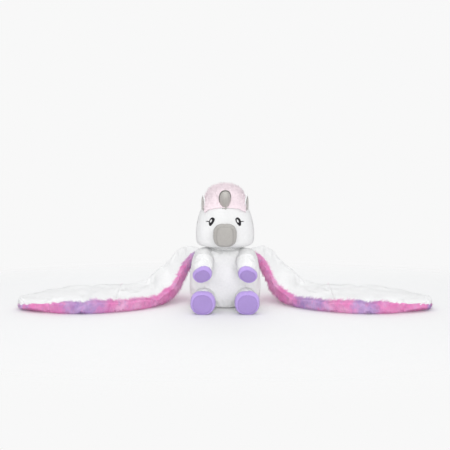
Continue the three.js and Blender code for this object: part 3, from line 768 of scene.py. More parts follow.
def scatter_tree(name):
    """Strands stood on a surface: thick where pile is high, combed, messed in clumps and at random."""
    inputs = {
        "Geometry": ("Geometry", None),
        "Strand": ("Object", None),
        "Material": ("Material", None),
        "Density": ("Float", 1e5),
        "Length": ("Float", 0.01),
        "Lean": ("Float", 0.5),
        "Clump size": ("Float", 0.02),
        "Clump mess": ("Float", 0.5),
        "Mess": ("Float", 0.2),
        "Seed": ("Int", 0),
    }
    tree, given, result = new_tree(name, "GeometryNodeTree", inputs, {"Geometry": "Geometry"})

    def chance(kind, low, high, offset):
        node = add(tree, "FunctionNodeRandomValue", data_type=kind)
        ends = [socket for socket in node.inputs if socket.enabled]
        ends[0].default_value, ends[1].default_value = low, high
        tree.links.new(math_node(tree, "ADD", given["Seed"], float(offset)), node.inputs["Seed"])
        return next(socket for socket in node.outputs if socket.enabled)

    thick = math_node(tree, "MULTIPLY", given["Density"], named(tree, "pile", "FLOAT"))
    spread = {"Mesh": given["Geometry"], "Density": thick, "Seed": given["Seed"]}
    points = add(tree, "GeometryNodeDistributePointsOnFaces", spread, distribute_method="RANDOM").outputs
    where = add(tree, "GeometryNodeInputPosition").outputs[0]
    frequency = math_node(tree, "DIVIDE", 1.0, given["Clump size"])
    wave = add(tree, "ShaderNodeTexNoise", {"Vector": where, "Scale": frequency, "Detail": 2.0})
    centred = vector_math(tree, "SUBTRACT", wave.outputs["Color"], (0.5, 0.5, 0.5))
    combed = vector_math(tree, "SCALE", named(tree, "comb", "FLOAT_VECTOR"), given["Lean"])
    clumped = vector_math(tree, "SCALE", centred, given["Clump mess"])
    any_way = chance("FLOAT_VECTOR", (-1, -1, -1), (1, 1, 1), 1)
    messed = vector_math(tree, "SCALE", any_way, given["Mess"])
    way = vector_math(tree, "ADD", points["Normal"], combed)
    way = vector_math(tree, "ADD", way, vector_math(tree, "ADD", clumped, messed))
    about = {"Axis": (0, 0, 1), "Angle": chance("FLOAT", 0, math.tau, 2)}
    spin = add(tree, "FunctionNodeAxisAngleToRotation", about).outputs[0]
    turn = {0: facing_way(tree, way), 1: spin}
    turned = add(tree, "FunctionNodeRotateRotation", turn, rotation_space="LOCAL").outputs[0]
    tall = math_node(tree, "MULTIPLY", given["Length"], chance("FLOAT", SHORTEST, LONGEST, 3))
    tall = math_node(tree, "MULTIPLY", tall, named(tree, "tall", "FLOAT"))
    strand = add(tree, "GeometryNodeObjectInfo", {"Object": given["Strand"]}).outputs["Geometry"]
    stand = {"Points": points["Points"], "Instance": strand, "Rotation": turned, "Scale": tall}
    stood = add(tree, "GeometryNodeInstanceOnPoints", stand).outputs[0]
    kept = (
        ("tone", "FLOAT", chance("FLOAT", 0.0, 1.0, 4)),
        ("spot", "FLOAT_VECTOR", where),
        ("facing", "FLOAT_VECTOR", points["Normal"]),
    )
    for label, kind, value in kept:
        store = {"Geometry": stood, "Name": label, "Value": value}
        settings = {"data_type": kind, "domain": "INSTANCE"}
        stood = add(tree, "GeometryNodeStoreNamedAttribute", store, **settings).outputs[0]
    realized(tree, stood, given["Material"], result)
    return tree


def stitch_tree(name):
    """Threads laid on points: each point carries its way and its length."""
    inputs = {"Geometry": ("Geometry", None), "Material": ("Material", None), "Thread": ("Float", 0.001)}
    tree, given, result = new_tree(name, "GeometryNodeTree", inputs, {"Geometry": "Geometry"})
    ball = add(tree, "GeometryNodeMeshUVSphere", {"Segments": 6, "Rings": 6, "Radius": 0.5}).outputs[0]
    size = {0: given["Thread"], 1: given["Thread"], 2: named(tree, "reach", "FLOAT")}
    lay = {
        "Points": given["Geometry"],
        "Instance": ball,
        "Rotation": facing_way(tree, named(tree, "way", "FLOAT_VECTOR")),
        "Scale": add(tree, "ShaderNodeCombineXYZ", size).outputs[0],
    }
    laid = add(tree, "GeometryNodeInstanceOnPoints", lay).outputs[0]
    realized(tree, laid, given["Material"], result)
    return tree


def by_tree(name, mesh, tree, values):
    """A plain mesh that a tree makes from another. Inputs are set by the identifiers of their sockets."""
    obj = linked(name, mesh)
    modifier = obj.modifiers.new("Tree", "NODES")
    modifier.node_group = tree
    for item in tree.interface.items_tree:
        if item.item_type == "SOCKET" and item.in_out == "INPUT" and item.name in values:
            modifier[item.identifier] = values[item.name]
    obj.update_tag()
    return applied(obj)


def grow(name, surface, strand, made, density, tall, comb, thick=None, heights=None, *, seed, **mess):
    """Strands on a surface as a plain mesh of their own. comb, thick and heights are for each vertex."""
    mesh = surface.data.copy()
    mesh.name = name
    for label, values in (("pile", thick), ("tall", heights), ("comb", comb)):
        noted(mesh, label, np.ones(len(mesh.vertices)) if values is None else values)
    shape = strand_shape(strand)
    values = {
        "Strand": shape,
        "Material": material(made),
        "Density": density,
        "Length": tall,
        "Lean": mess["lean"],
        "Clump size": mess["clump"],
        "Clump mess": mess["clump_mess"],
        "Mess": mess["mess"],
        "Seed": pile().seed + seed,
    }
    obj = by_tree(name, mesh, shared("scatter_strands", scatter_tree), values)
    bpy.data.meshes.remove(mesh)
    obj.data.name = name
    co = points_of(obj.data)
    co[:, 2] = np.maximum(co[:, 2], FLOOR_GAP)
    obj.data.vertices.foreach_set("co", co.ravel())
    cells_for(obj.data, len(shape.data.polygons))
    return obj


def cells_for(mesh, faces_each):
    """A UV map in which each strand has a small square of its own."""
    for layer in list(mesh.uv_layers):
        mesh.uv_layers.remove(layer)
    layer = mesh.uv_layers.new(name="OFBake")
    count = len(mesh.polygons)
    starts, totals = np.empty(count, np.int64), np.empty(count, np.int64)
    mesh.polygons.foreach_get("loop_start", starts)
    mesh.polygons.foreach_get("loop_total", totals)
    across = max(1, math.ceil(math.sqrt(count // faces_each)))
    columns = math.ceil(math.sqrt(faces_each))
    low, high = CELL_MARGIN, 1 - CELL_MARGIN
    corners = np.array(((low, low), (high, low), (high, high), (low, high)))
    face = np.arange(count)
    strand, part = face // faces_each, face % faces_each
    cell = np.stack([strand % across, strand // across], -1)
    sub = np.stack([part % columns, part // columns], -1)
    owner = np.repeat(face, totals)
    corner = np.arange(len(owner)) - np.repeat(starts, totals)
    uv = (cell[owner] + (sub[owner] + corners[corner]) / columns) / across
    layer.data.foreach_set("uv", uv.ravel())


def stitches(name, places, ways, reaches, thread, made):
    """A plain mesh of threads, one at each place."""
    mesh = bpy.data.meshes.new(name)
    mesh.from_pydata([tuple(p) for p in places], [], [])
    noted(noted(mesh, "way", ways), "reach", reaches)
    values = {"Material": material(made), "Thread": thread}
    return by_tree(name, mesh, shared("satin_stitches", stitch_tree), values)


def finish_piece(obj, riding, replaced=()):
    """Rides a piece on one body; a piece between two bodies, whose names and points are not used, keeps its
    place as a plain mesh. Hides the solids that it replaces.
    """
    if isinstance(riding, str):
        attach(obj, riding)
    else:
        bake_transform(obj)
    if replaced:
        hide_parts(*replaced)
    return obj


def sheer(obj, own_share=NAP_SHARE):
    """Fine pile lets the light through: it is lit like the cloth under it and casts no shadow."""
    facing = vectors(obj.data.attributes["facing"].data)
    obj.data.normals_split_custom_set_from_vertices(facing + own_share * normals_of(obj.data))
    obj.visible_shadow = False
    obj.visible_diffuse = False
    return obj


def napped(surface, made, riding, thick=None, tall=1.0, seed=0):
    """A short pile over a piece, as a piece of its own."""
    comb = np.tile(NAP_COMB, (len(surface.data.vertices), 1))
    obj = grow(
        surface.name + "_nap", surface, "nap_strand", made, NAP_DENSITY, pile().nap * tall, comb, thick,
        lean=0.7, clump=0.012, clump_mess=1.1, mess=0.35, seed=seed,
    )
    return finish_piece(sheer(obj), riding)


# Torso and neck

TORSO_STATIONS = (
    (0, 0.8, 0.78),
    (0.03, 0.92, 0.9),
    (0.1, 0.98, 0.975),
    (0.22, 1, 1),
    (0.46, 0.995, 0.975),
    (0.68, 0.965, 0.9),
    (0.86, 0.9, 0.83),
    (0.955, 0.8, 0.74),
    (0.988, 0.7, 0.655),
    (1, 0.58, 0.55),
)
TORSO_POWER = 2.2
TORSO_SEAMS = (44, 136)  # degrees from straight ahead
SEAT_FIRM, SEAT_HELD = 1.5, 0.016  # how firmly and how high the seat holds the cover
SEAM_HELD = 0.9
SEAM_REACH = 3  # degrees each side of a seam that are held
SEAM_WIDE = 0.0028
NAP_EDGE = 0.002  # strip without pile at the seat, the neck and the chin
NAP_FADE = 0.01
NECK_LAPS = (-0.008, -0.002, 0.002, 0.001, 0.008)  # three from the torso's top and two from the chin
NECK_STATIONS = (  # half widths and depths at these heights
    (0.04, 0.033),
    (0.039, 0.0325),
    (0.037, 0.0325),
    (0.0365, 0.0325),
    (0.0365, 0.0325),
)
NECK_POWER = 2.1
NECK_GATHERS = 34
GATHER_HIGH = 0.0006


def torso_rings(steps, sides):
    s = sizes()
    wide, deep = s.torso_width / 2 - UNDER_NAP, s.torso_depth / 2 - UNDER_NAP
    stations = [(t * s.torso_height, w * wide, d * deep) for t, w, d in TORSO_STATIONS]
    return stuffed(np.zeros(3), UP, AHEAD, stations, TORSO_POWER, steps, sides)


def from_seam(points, seam):
    """Degrees from an upright seam, which is given in degrees from straight ahead on both sides."""
    bearing = np.degrees(np.arctan2(np.abs(points[..., 0]), -points[..., 1]))
    return np.abs(bearing - seam)


def at_seam(rings, seam):
    """How firmly a seam holds each point."""
    return SEAM_HELD * (from_seam(rings, seam) < SEAM_REACH)


def sewn(rings, normals, seams, deep):
    """The rings sunk along upright seams."""
    radius = np.hypot(rings[..., 0], rings[..., 1])
    for seam in seams:
        arc = np.radians(from_seam(rings, seam)) * radius
        rings = groove(rings, normals, arc, SEAM_WIDE, deep)
    return rings


class UNICORN_OT_torso(Operator):
    """The filled torso with its flat seat and its upright seams"""

    bl_idname = "unicorn.torso"
    bl_label = "Torso"

    def execute(self, context):
        rings = torso_rings(steps=26, sides=72)
        held = np.clip(SEAT_FIRM - rings[..., 2] / SEAT_HELD, 0, 1)
        for seam in TORSO_SEAMS:
            held = np.maximum(held, at_seam(rings, seam))
        ends = {"start": 5, "end": 4, "dome": 0.002}
        rings = stuffed_cover(rings, held, fine=4, **ends, pressure=2.0, slack=0.03, most=0.0025)
        normals = ring_normals(rings)
        rings = sewn(rings, normals, TORSO_SEAMS, deep=0.0016)
        rings = on_floor(lumpy(rings, normals, high=0.0008, size=0.03, seed=1))
        torso = placed(mesh_of("torso_plush", rings), material("white_plush"))
        finish_piece(torso, "torso", ("torso_cover", "seat_panel"))
        height = points_of(torso.data)[:, 2]
        thick = np.clip((height - NAP_EDGE) / NAP_FADE, 0, 1)
        thick *= np.clip((sizes().torso_height - NAP_EDGE - height) / NAP_FADE, 0, 1)
        napped(torso, "white_nap", "torso", thick=thick, seed=1)
        return {"FINISHED"}


class UNICORN_OT_neck(Operator):
    """The short gathered neck that closes the gap between torso and head"""

    bl_idname = "unicorn.neck"
    bl_label = "Neck"

    def execute(self, context):
        top, chin = sizes().torso_height, sizes().head_bottom
        heights = np.array((top, top, top, chin, chin)) + NECK_LAPS
        stations = [(z, *half) for z, half in zip(heights, NECK_STATIONS)]
        rings = stuffed(np.zeros(3), UP, AHEAD, stations, NECK_POWER, steps=28, sides=160)
        angle = np.arctan2(rings[..., 0], rings[..., 1])
        gathers = GATHER_HIGH * np.sin(NECK_GATHERS * angle + 2 * lumps(rings, size=0.02, seed=4))
        rings = capped(raised(rings, ring_normals(rings), gathers), start=3, end=3)
        neck = placed(mesh_of("neck_plush", rings), material("white_plush"))
        finish_piece(neck, "neck", ("neck",))
        return {"FINISHED"}


# Head

HEAD_STATIONS = (
    (0, 0.6, 0.58),
    (0.015, 0.77, 0.74),
    (0.04, 0.89, 0.87),
    (0.1, 0.98, 0.97),
    (0.26, 1, 1),
    (0.45, 0.95, 0.98),
    (0.62, 0.84, 0.92),
    (0.78, 0.67, 0.8),
    (0.92, 0.45, 0.57),
    (0.985, 0.22, 0.3),
    (1, 0.08, 0.1),
)
HEAD_POWER = 2.25
HEAD_SEAM = 120  # degrees from straight ahead
CHIN_FADE = 0.016
FACE_FROM = -0.01  # the face lies ahead of this depth
FACE_NEAREST = 6  # points that a place on the face is read from
EYE_MARGIN = 0.001  # beside an eye, without pile
FACE = {}


def head_rings(steps, sides, bigger):
    """Rings of the head's solid, made bigger all round."""
    s = sizes()
    tall = s.head_top - s.head_bottom
    stations = [
        (t * tall + bigger * (2 * t - 1), w * s.head_width / 2 + bigger, d * s.head_depth / 2 + bigger)
        for t, w, d in HEAD_STATIONS
    ]
    return stuffed(np.array((0, 0, s.head_bottom)), UP, AHEAD, stations, HEAD_POWER, steps, sides)


def keep_face(rings):
    """Keeps the front of the finished head, for what is sewn on it."""
    ahead = rings[..., 1] < FACE_FROM
    FACE["points"] = rings[ahead]
    FACE["normals"] = ring_normals(rings)[ahead]


def face_at(x, z):
    """The point and the way out of the face, straight ahead of the head at x and z."""
    points = FACE["points"]
    near = np.argsort((points[:, 0] - x) ** 2 + (points[:, 2] - z) ** 2)[:FACE_NEAREST]
    weight = 1 / (np.hypot(points[near, 0] - x, points[near, 2] - z) + 1e-5)
    weight /= weight.sum()
    depth = (points[near, 1] * weight).sum()
    return np.array((x, depth, z)), unit((FACE["normals"][near] * weight[:, None]).sum(0))


def off_eyes(points):
    """One away from the eyes and none where they are stitched, for the pile."""
    stitched_over = np.zeros(len(points), bool)
    for name, _ in SIDES:
        low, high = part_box(f"eye_{name}")
        wide, tall = (high.x - low.x) / 2 + EYE_MARGIN, (high.z - low.z) / 2
        x = (points[:, 0] - (low.x + high.x) / 2) / wide
        z = (points[:, 2] - (low.z + high.z) / 2) / tall
        stitched_over |= (x * x + z * z < 1) & (points[:, 1] < 0)
    return 1.0 - stitched_over


class UNICORN_OT_head(Operator):
    """The filled head, wide at the cheeks"""

    bl_idname = "unicorn.head"
    bl_label = "Head"

    def execute(self, context):
        rings = head_rings(steps=30, sides=72, bigger=-UNDER_NAP)
        held = at_seam(rings, HEAD_SEAM)
        rings = stuffed_cover(rings, held, fine=4, start=4, pressure=2.0, slack=0.02, most=0.002)
        normals = ring_normals(rings)
        rings = sewn(rings, normals, (HEAD_SEAM,), deep=0.0014)
        rings = lumpy(rings, normals, high=0.0007, size=0.035, seed=2)
        keep_face(rings)
        head = placed(mesh_of("head_plush", rings), material("white_plush"))
        finish_piece(head, "head", ("head_cover",))
        co = points_of(head.data)
        thick = np.clip((co[:, 2] - sizes().head_bottom - NAP_EDGE) / CHIN_FADE, 0, 1)
        thick *= (under_hair(co) < 0) * off_eyes(co)
        napped(head, "white_nap", "head", thick=thick, seed=2)
        return {"FINISHED"}


# Mane: hair on a cap over the crown, and on a strip down the back of the head

HAIRLINE = 0.246  # height of the cap's edge at the front
HAIR_FALL = 0.14  # how far the edge falls towards the back
HAIR_ARCH = 3.4  # how far it falls towards the ears
HAIR_WAVES = ((0.0015, 420, 0), (0.0012, 380, 2), (0.002, 290, 1))  # height, pace and start along x, y, z
CAP_WAVES = 0.4  # of these, at the cap's edge
MANE_HALF = 0.05
STRIP_AHEAD = 0.01  # the strip lies behind this depth
STRIP_HALF = 0.031
STRIP_END = 0.153
STRIP_FLARE = 0.019
FLARE_FROM, FLARE_TO = 0.19, 0.232
MANE_PAD = 0.004
EDGE_CELL = 0.0022
LEAST_SLOPE = 0.25
RIM_WIDE = 0.006  # where the hair leans out over the edge
RIM_OUT, RIM_DOWN = 1.2, 0.5
COMB_AWAY, COMB_ALL = (0.3, 0.3, 0.2), (0, -0.12, 0.1)
FRONT_FROM, FRONT_WIDE, FRONT_LIFT = 0.02, 0.03, 0.3  # where and how far the front hair is combed up
EDGE_HAIR = 0.5  # share of its full length that the hair has at the edge
HAIR_GROWS = 0.03  # way in from the edge along which a whole length would be added
RIM_HAIR = 0.9  # share of its full length where it leans out
RIM_FRONT = 0.3  # how much it leans out ahead of the strip
RIM_MORE = 0.6  # how much thicker the hair is there
FACES_DOWN, THIN_HAIR = -0.6, 0.6  # where the cap faces down, and how thick the hair is there
CAP_GAP = 0.0005  # between the cap and the head's solid
HAIR_MIDDLE = np.array((0, 0.01, 0.215))  # the hair is combed away from here
MANE_DENSITY = 2.1e5


def under_hair(points):
    """How far inside the mane's edge each point is, below zero outside it."""
    x, y, z = points[..., 0], points[..., 1], points[..., 2]
    ragged = sum(high * np.sin(t * pace + start) for t, (high, pace, start) in zip((x, y, z), HAIR_WAVES))
    edge = HAIRLINE - HAIR_FALL * (y + sizes().head_depth / 2) - HAIR_ARCH * x * x + CAP_WAVES * ragged
    crown = np.minimum(z - edge, MANE_HALF - np.abs(x))
    half = STRIP_HALF + STRIP_FLARE * np.clip((z - FLARE_FROM) / (FLARE_TO - FLARE_FROM), 0, 1) ** 2
    strip = np.minimum(np.minimum(half - np.abs(x), z - STRIP_END) + ragged, y - STRIP_AHEAD)
    return np.maximum(crown, strip)


def hair_slope(points):
    """The way into the mane from its edge."""
    step = 0.001
    changes = [under_hair(points + step * way) - under_hair(points - step * way) for way in np.eye(3)]
    return np.stack(changes, 1) / (2 * step)


def mane_cap():
    """The cloth that the hair grows on. Points just outside its edge are brought onto it."""
    mesh = mesh_of("mane_cap", finer(head_rings(steps=60, sides=120, bigger=MANE_PAD), 2))
    co, normals = points_of(mesh), normals_of(mesh)
    depth = under_hair(co)
    slope = hair_slope(co)
    slope -= normals * (slope * normals).sum(1, keepdims=True)
    back = np.where(depth < 0, -depth, 0) / np.maximum((slope**2).sum(1), LEAST_SLOPE)
    co += slope * np.minimum(back, EDGE_CELL)[:, None]
    mesh.vertices.foreach_set("co", co.ravel())
    work = bmesh.new()
    work.from_mesh(mesh)
    lost = [v for v in work.verts if depth[v.index] < -EDGE_CELL]
    edge = [v for v in work.verts if -EDGE_CELL <= depth[v.index] < 0]
    bmesh.ops.delete(work, geom=lost, context="VERTS")
    bmesh.ops.remove_doubles(work, verts=edge, dist=0.0004)
    work.to_mesh(mesh)
    work.free()
    return placed(mesh, material("mane_cloth"))


class UNICORN_OT_mane(Operator):
    """Long pale hair over the crown and down the back of the head"""

    bl_idname = "unicorn.mane"
    bl_label = "Mane"

    def execute(self, context):
        cap = mane_cap()
        co, normals = points_of(cap.data), normals_of(cap.data)
        depth = under_hair(co)
        comb = co - HAIR_MIDDLE
        comb /= np.linalg.norm(comb, axis=1, keepdims=True)
        comb = comb * COMB_AWAY + COMB_ALL
        comb[:, 2] += FRONT_LIFT * np.clip((-co[:, 1] - FRONT_FROM) / FRONT_WIDE, 0, 1)
        rim = np.exp(-((depth / RIM_WIDE) ** 2)) * np.clip(co[:, 1] / STRIP_AHEAD, RIM_FRONT, 1)
        comb -= rim[:, None] * (RIM_OUT * hair_slope(co) + RIM_DOWN * normals)
        heights = np.maximum(np.clip(EDGE_HAIR + depth / HAIR_GROWS, EDGE_HAIR, 1.0), RIM_HAIR * rim)
        thick = np.where(normals[:, 2] > FACES_DOWN, 1.0, THIN_HAIR) + RIM_MORE * rim
        hair = grow(
            "mane_hair", cap, "mane_strand", "mane_hair", MANE_DENSITY, pile().mane, comb, thick, heights,
            lean=1.3, clump=0.016, clump_mess=1.2, mess=0.3, seed=3,
        )
        solid = cap.modifiers.new("Pad", "SOLIDIFY")
        solid.thickness = MANE_PAD - CAP_GAP
        solid.offset = -1
        applied(cap)
        finish_piece(cap, "head", ("mane",))
        finish_piece(sheer(hair, FUR_SHARE), "head")
        return {"FINISHED"}


# Snout, horn and ears

SNOUT_STATIONS = (
    (0.0, 1.08, 1.04),
    (0.3, 1.07, 1.02),
    (0.7, 1.05, 0.99),
    (0.88, 1.01, 0.95),
    (0.97, 0.93, 0.88),
    (1.0, 0.82, 0.79),
)
SNOUT_HALF = 0.0258
SNOUT_INSIDE = 0.017  # how far the snout reaches into the head
SNOUT_POWER = 2.8
SNOUT_FREE = slice(4, 20)  # rings that the filling moves
NOSE_STATIONS = (
    (0.0, 1.0, 1.0),
    (0.0016, 1.02, 1.02),
    (0.0034, 1.0, 1.0),
    (0.005, 0.93, 0.94),
    (0.0056, 0.84, 0.86),
)
NOSE_POWER = 3.4
NOSE_INSIDE = 0.0012
NOSE_STEPS = 14
SEAM_RING = 3  # of the nose panel, where it is sewn on
SEAM_SIDES = 220
SEAM_PROUD = (1.012, 1, 1)  # so that the stitches stand out of the cloth
SEAM_THREAD = 0.0008
STITCH_SHARE = 0.85  # of the way from one hole to the next
HORN_BASE = np.array((0, -0.0453, 0.249))
HORN_REACH = 0.0425
HORN_SLIM = 0.87  # of the solid's radius
HORN_STATIONS = (
    (-0.008, 0.86),
    (HORN_REACH * 0.2, 0.98),
    (HORN_REACH * 0.5, 1.0),
    (HORN_REACH * 0.76, 0.89),
    (HORN_REACH * 0.94, 0.56),
    (HORN_REACH, 0.1),
)
HORN_PUCKERS = 11
PUCKER_REACH, PUCKER_HIGH = 0.014, 0.0007
HORN_LUMPS = 0.0005
# a dark cord along the horn's outline, as painted shade
SHADE_CORD_RADIUS = 0.0016
SHADE_CORD_FROM = 4  # ring at which the cord of painted shade starts
EAR_TALL, EAR_WIDE = 0.046, 0.030
EAR_LEAN, EAR_TURN = math.radians(2), math.radians(-16)
EAR_BESIDE, EAR_DEPTH, EAR_HEIGHT = 0.35, -0.02, 0.230  # share of the head's width, then metres
EAR_STEPS, EAR_SIDES = 60, 48
EAR_ROOT, EAR_SWELL, EAR_TIP = 0.36, 0.74, 0.0006  # shares of its width, and the tip's half width
EAR_DISH = 0.0025
EAR_ENDS, EAR_BLUNT = (0.02, 0.985), 0.35  # so that both ends keep some thickness
EAR_OUT, LINING_OUT = 0.002, 0.0048
EAR_THICK, LINING_THICK = 0.0026, 0.0012
LINING_TALL, LINING_WIDE = 0.84, 0.66  # of the ear
LINING_RISE = 0.0023


class UNICORN_OT_snout(Operator):
    """The square-ended grey snout and the panel that closes it"""

    bl_idname = "unicorn.snout"
    bl_label = "Snout"

    def execute(self, context):
        low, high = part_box("snout")
        z = (low.z + high.z) / 2
        start = -sizes().head_depth / 2 + SNOUT_INSIDE
        stations = [(t * (start - low.y), w * SNOUT_HALF, h * SNOUT_HALF) for t, w, h in SNOUT_STATIONS]
        rings = stuffed(np.array((0, start, z)), AHEAD, UP, stations, SNOUT_POWER, steps=22, sides=72)
        held = np.ones(rings.shape[:2])
        held[SNOUT_FREE] = 0
        ends = {"start": 2, "end": 5, "dome": 0.002}
        rings = stuffed_cover(rings, held, fine=3, **ends, pressure=3.0, slack=0.02, most=0.002)
        rings = lumpy(rings, ring_normals(rings), high=0.0005, size=0.014, seed=6)
        snout = placed(mesh_of("snout_cloth", rings), material("snout_cloth"))
        finish_piece(snout, "head", ("snout",))
        self.nose(np.array((0, low.y + NOSE_INSIDE, z)))
        return {"FINISHED"}

    def nose(self, middle):
        low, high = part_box("nose_panel")
        wide, tall = (high.x - low.x) / 2, (high.z - low.z) / 2
        stations = [(t, w * wide, h * tall) for t, w, h in NOSE_STATIONS]
        shape = (middle, AHEAD, UP, stations, NOSE_POWER, NOSE_STEPS)
        rings = finer(capped(stuffed(*shape, sides=96), start=2, end=8, dome=0.0016), 2)
        rings = lumpy(rings, ring_normals(rings), high=0.0004, size=0.012, seed=8)
        panel = placed(mesh_of("nose_panel_cloth", rings), material("snout_cloth"))
        finish_piece(panel, "head", ("nose_panel",))
        edge = stuffed(*shape, SEAM_SIDES)[SEAM_RING] * SEAM_PROUD
        first, second = edge[0::2], edge[1::2]
        reaches = STITCH_SHARE * np.linalg.norm(second - first, axis=1)
        places = (first + second) / 2
        seam = stitches("nose_panel_stitches", places, second - first, reaches, SEAM_THREAD, "seam_thread")
        finish_piece(seam, "head")


class UNICORN_OT_horn(Operator):
    """The stubby silver horn among the hair"""

    bl_idname = "unicorn.horn"
    bl_label = "Horn"
    lean: turning("Lean", 30, "Forward of upright")

    def execute(self, context):
        low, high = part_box("horn")
        axis = np.array((0, -math.sin(self.lean), math.cos(self.lean)))
        stations = round_stations(HORN_STATIONS, (high.x - low.x) / 2 * HORN_SLIM)
        rings = stuffed(HORN_BASE, axis, AHEAD, stations, power=2, steps=70, sides=120)
        away = rings - HORN_BASE
        side = np.cross(axis, AHEAD)
        angle = np.arctan2(away @ side, away @ np.cross(side, axis))
        puckers = np.exp(-(away @ axis) / PUCKER_REACH)
        puckers *= np.sin(HORN_PUCKERS * angle + 3 * lumps(rings, size=0.02, seed=3))
        height = PUCKER_HIGH * puckers + HORN_LUMPS * lumps(rings, size=0.01, seed=5)
        rings = raised(rings, ring_normals(rings), height)
        horn = placed(mesh_of("horn_cloth", rings), material("horn_cloth"))
        finish_piece(horn, "head", ("horn",))
        # a dark cord up one side of the horn, over its tip and down the other, as seen from ahead: painted
        # shade of the horn's outline
        right, left = np.argmax(rings[0] @ side), np.argmin(rings[0] @ side)
        up, down = rings[SHADE_CORD_FROM:, right], rings[SHADE_CORD_FROM:, left][::-1]
        path = np.concatenate([up, rings[-1].mean(0)[None], down])
        shade_cord = tube("horn_piping", path, SHADE_CORD_RADIUS, material("dark_silver"))
        finish_piece(shade_cord, "head")
        return {"FINISHED"}


def leaf_pillow(name, place, wide, tall, rise, thick, made):
    """A leaf-shaped pillow in the plane of an ear. place is (origin, across, up, outward)."""
    origin, across, up, out = place
    angle = turns(EAR_SIDES)
    rings = []
    for q in np.linspace(0.0, 1.0, EAR_STEPS):
        half = wide * ((1 - q) ** 2 * EAR_ROOT + 2 * q * (1 - q) * EAR_SWELL) + EAR_TIP
        edge = np.sin(np.pi * np.clip(q, *EAR_ENDS)) ** EAR_BLUNT
        dish = EAR_DISH * math.sin(math.pi * q)
        depth = np.sin(angle) * thick * edge - dish * (1 - np.cos(angle) ** 2) * 0.5
        ring = origin + np.outer(half * np.cos(angle), across) + (rise + q * tall) * up
        rings.append(ring + np.outer(depth, out))
    return placed(mesh_of(name, np.array(rings)), material(made))


class UNICORN_OT_ears(Operator):
    """Two upright ears beside the mane, lined with silver"""

    bl_idname = "unicorn.ears"
    bl_label = "Ears"

    def execute(self, context):
        for name, side in SIDES:
            up = np.array((side * math.sin(EAR_LEAN), 0, math.cos(EAR_LEAN)))
            ahead = np.array((side * math.sin(EAR_TURN), -math.cos(EAR_TURN), 0))
            out = unit(np.cross(ahead, up) * -side)
            across = unit(np.cross(up, out))
            origin = np.array((side * EAR_BESIDE * sizes().head_width, EAR_DEPTH, EAR_HEIGHT))
            place = (origin + out * EAR_OUT, across, up, out)
            size = (EAR_WIDE, EAR_TALL, 0.0, EAR_THICK)
            shell = leaf_pillow(f"ear_plush_{name}", place, *size, "white_plush")
            finish_piece(shell, "head", (f"ear_{name}",))
            place = (origin + out * LINING_OUT, across, up, out)
            size = (EAR_WIDE * LINING_WIDE, EAR_TALL * LINING_TALL, LINING_RISE, LINING_THICK)
            lining = leaf_pillow(f"ear_lining_{name}_cloth", place, *size, "horn_cloth")
            finish_piece(lining, "head", (f"ear_lining_{name}",))
            napped(shell, "white_nap", "head", tall=0.7, seed=5)
        return {"FINISHED"}


# Eyes: satin stitches laid side by side

EYE_THREAD = 0.0011
GLINT_THREAD = EYE_THREAD * 0.9
EYE_SHARE = 0.84  # of the solid's height
EYE_ROWS, GLINT_ROWS = 40, 12
EYE_HALF, GLINT_HALF = 0.0066, 0.0018
EYE_LEAN = -0.007
EYE_SLANT = 0.0005
EYE_ROUND, EYE_WAIST, EYE_FLARE = 0.52, 0.86, 0.5  # the drop is wider above than below
EYE_LIFT, GLINT_LIFT = 0.0005, 0.001
GLINT_FROM, GLINT_TO = -0.08, 0.26  # shares of the eye's height, from its middle
GLINT_MIDDLE, GLINT_ROUND = 0.09, 0.19
GLINT_BESIDE = 0.0016
LASHES = ((0.0, 0.009), (0.0008, 0.007), (-0.0008, 0.007))  # height at the root and reach
LASH_FROM, LASH_TO = (0.004, 0.0), (0.005, 0.0004)  # before its height and reach are added
LASH_GATHER = 0.6  # share of its height that is left at its end


class UNICORN_OT_eyes(Operator):
    """Embroidered eyes: a dark drop with a light in it, and a lash outside"""

    bl_idname = "unicorn.eyes"
    bl_label = "Eyes"

    def execute(self, context):
        for name, side in SIDES:
            low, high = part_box(f"eye_{name}")
            centre = ((low.x + high.x) / 2, (low.z + high.z) / 2, side)
            tall = EYE_SHARE * (high.z - low.z)
            drop, glint = [], []
            for h in np.linspace(-0.5, 0.5, EYE_ROWS):
                half = EYE_HALF * math.sqrt(1 - (h / EYE_ROUND) ** 2)
                half *= EYE_WAIST + EYE_FLARE * h
                lean = EYE_LEAN * h
                drop.append(((lean - half, h * tall - EYE_SLANT), (lean + half, h * tall + EYE_SLANT)))
            for rise, reach in LASHES:
                end = (LASH_TO[0] + reach, LASH_TO[1] + rise * LASH_GATHER)
                drop.append(((LASH_FROM[0], LASH_FROM[1] + rise), end))
            for h in np.linspace(GLINT_FROM, GLINT_TO, GLINT_ROWS):
                half = GLINT_HALF * math.sqrt(1 - ((h - GLINT_MIDDLE) / GLINT_ROUND) ** 2)
                middle = EYE_LEAN * h - side * GLINT_BESIDE
                glint.append(((middle - half, h * tall), (middle + half, h * tall)))
            laid = self.lay(drop, centre, EYE_LIFT)
            eye = stitches(f"eye_thread_{name}", *laid, EYE_THREAD, "black_thread")
            finish_piece(eye, "head", (f"eye_{name}",))
            laid = self.lay(glint, centre, GLINT_LIFT)
            light = stitches(f"eye_light_{name}", *laid, GLINT_THREAD, "white_thread")
            finish_piece(light, "head")
        return {"FINISHED"}

    def lay(self, threads, centre, lift):
        """The place, way and length on the face of each thread, given by its two ends."""
        x, z, side = centre
        places, ways, reaches = [], [], []
        for a, b in threads:
            start, start_out = face_at(x + side * a[0], z + a[1])
            end, end_out = face_at(x + side * b[0], z + b[1])
            places.append((start + end) / 2 + unit(start_out + end_out) * lift)
            ways.append(end - start)
            reaches.append(np.linalg.norm(end - start) + EYE_THREAD)
        return places, ways, reaches


# Arms and legs

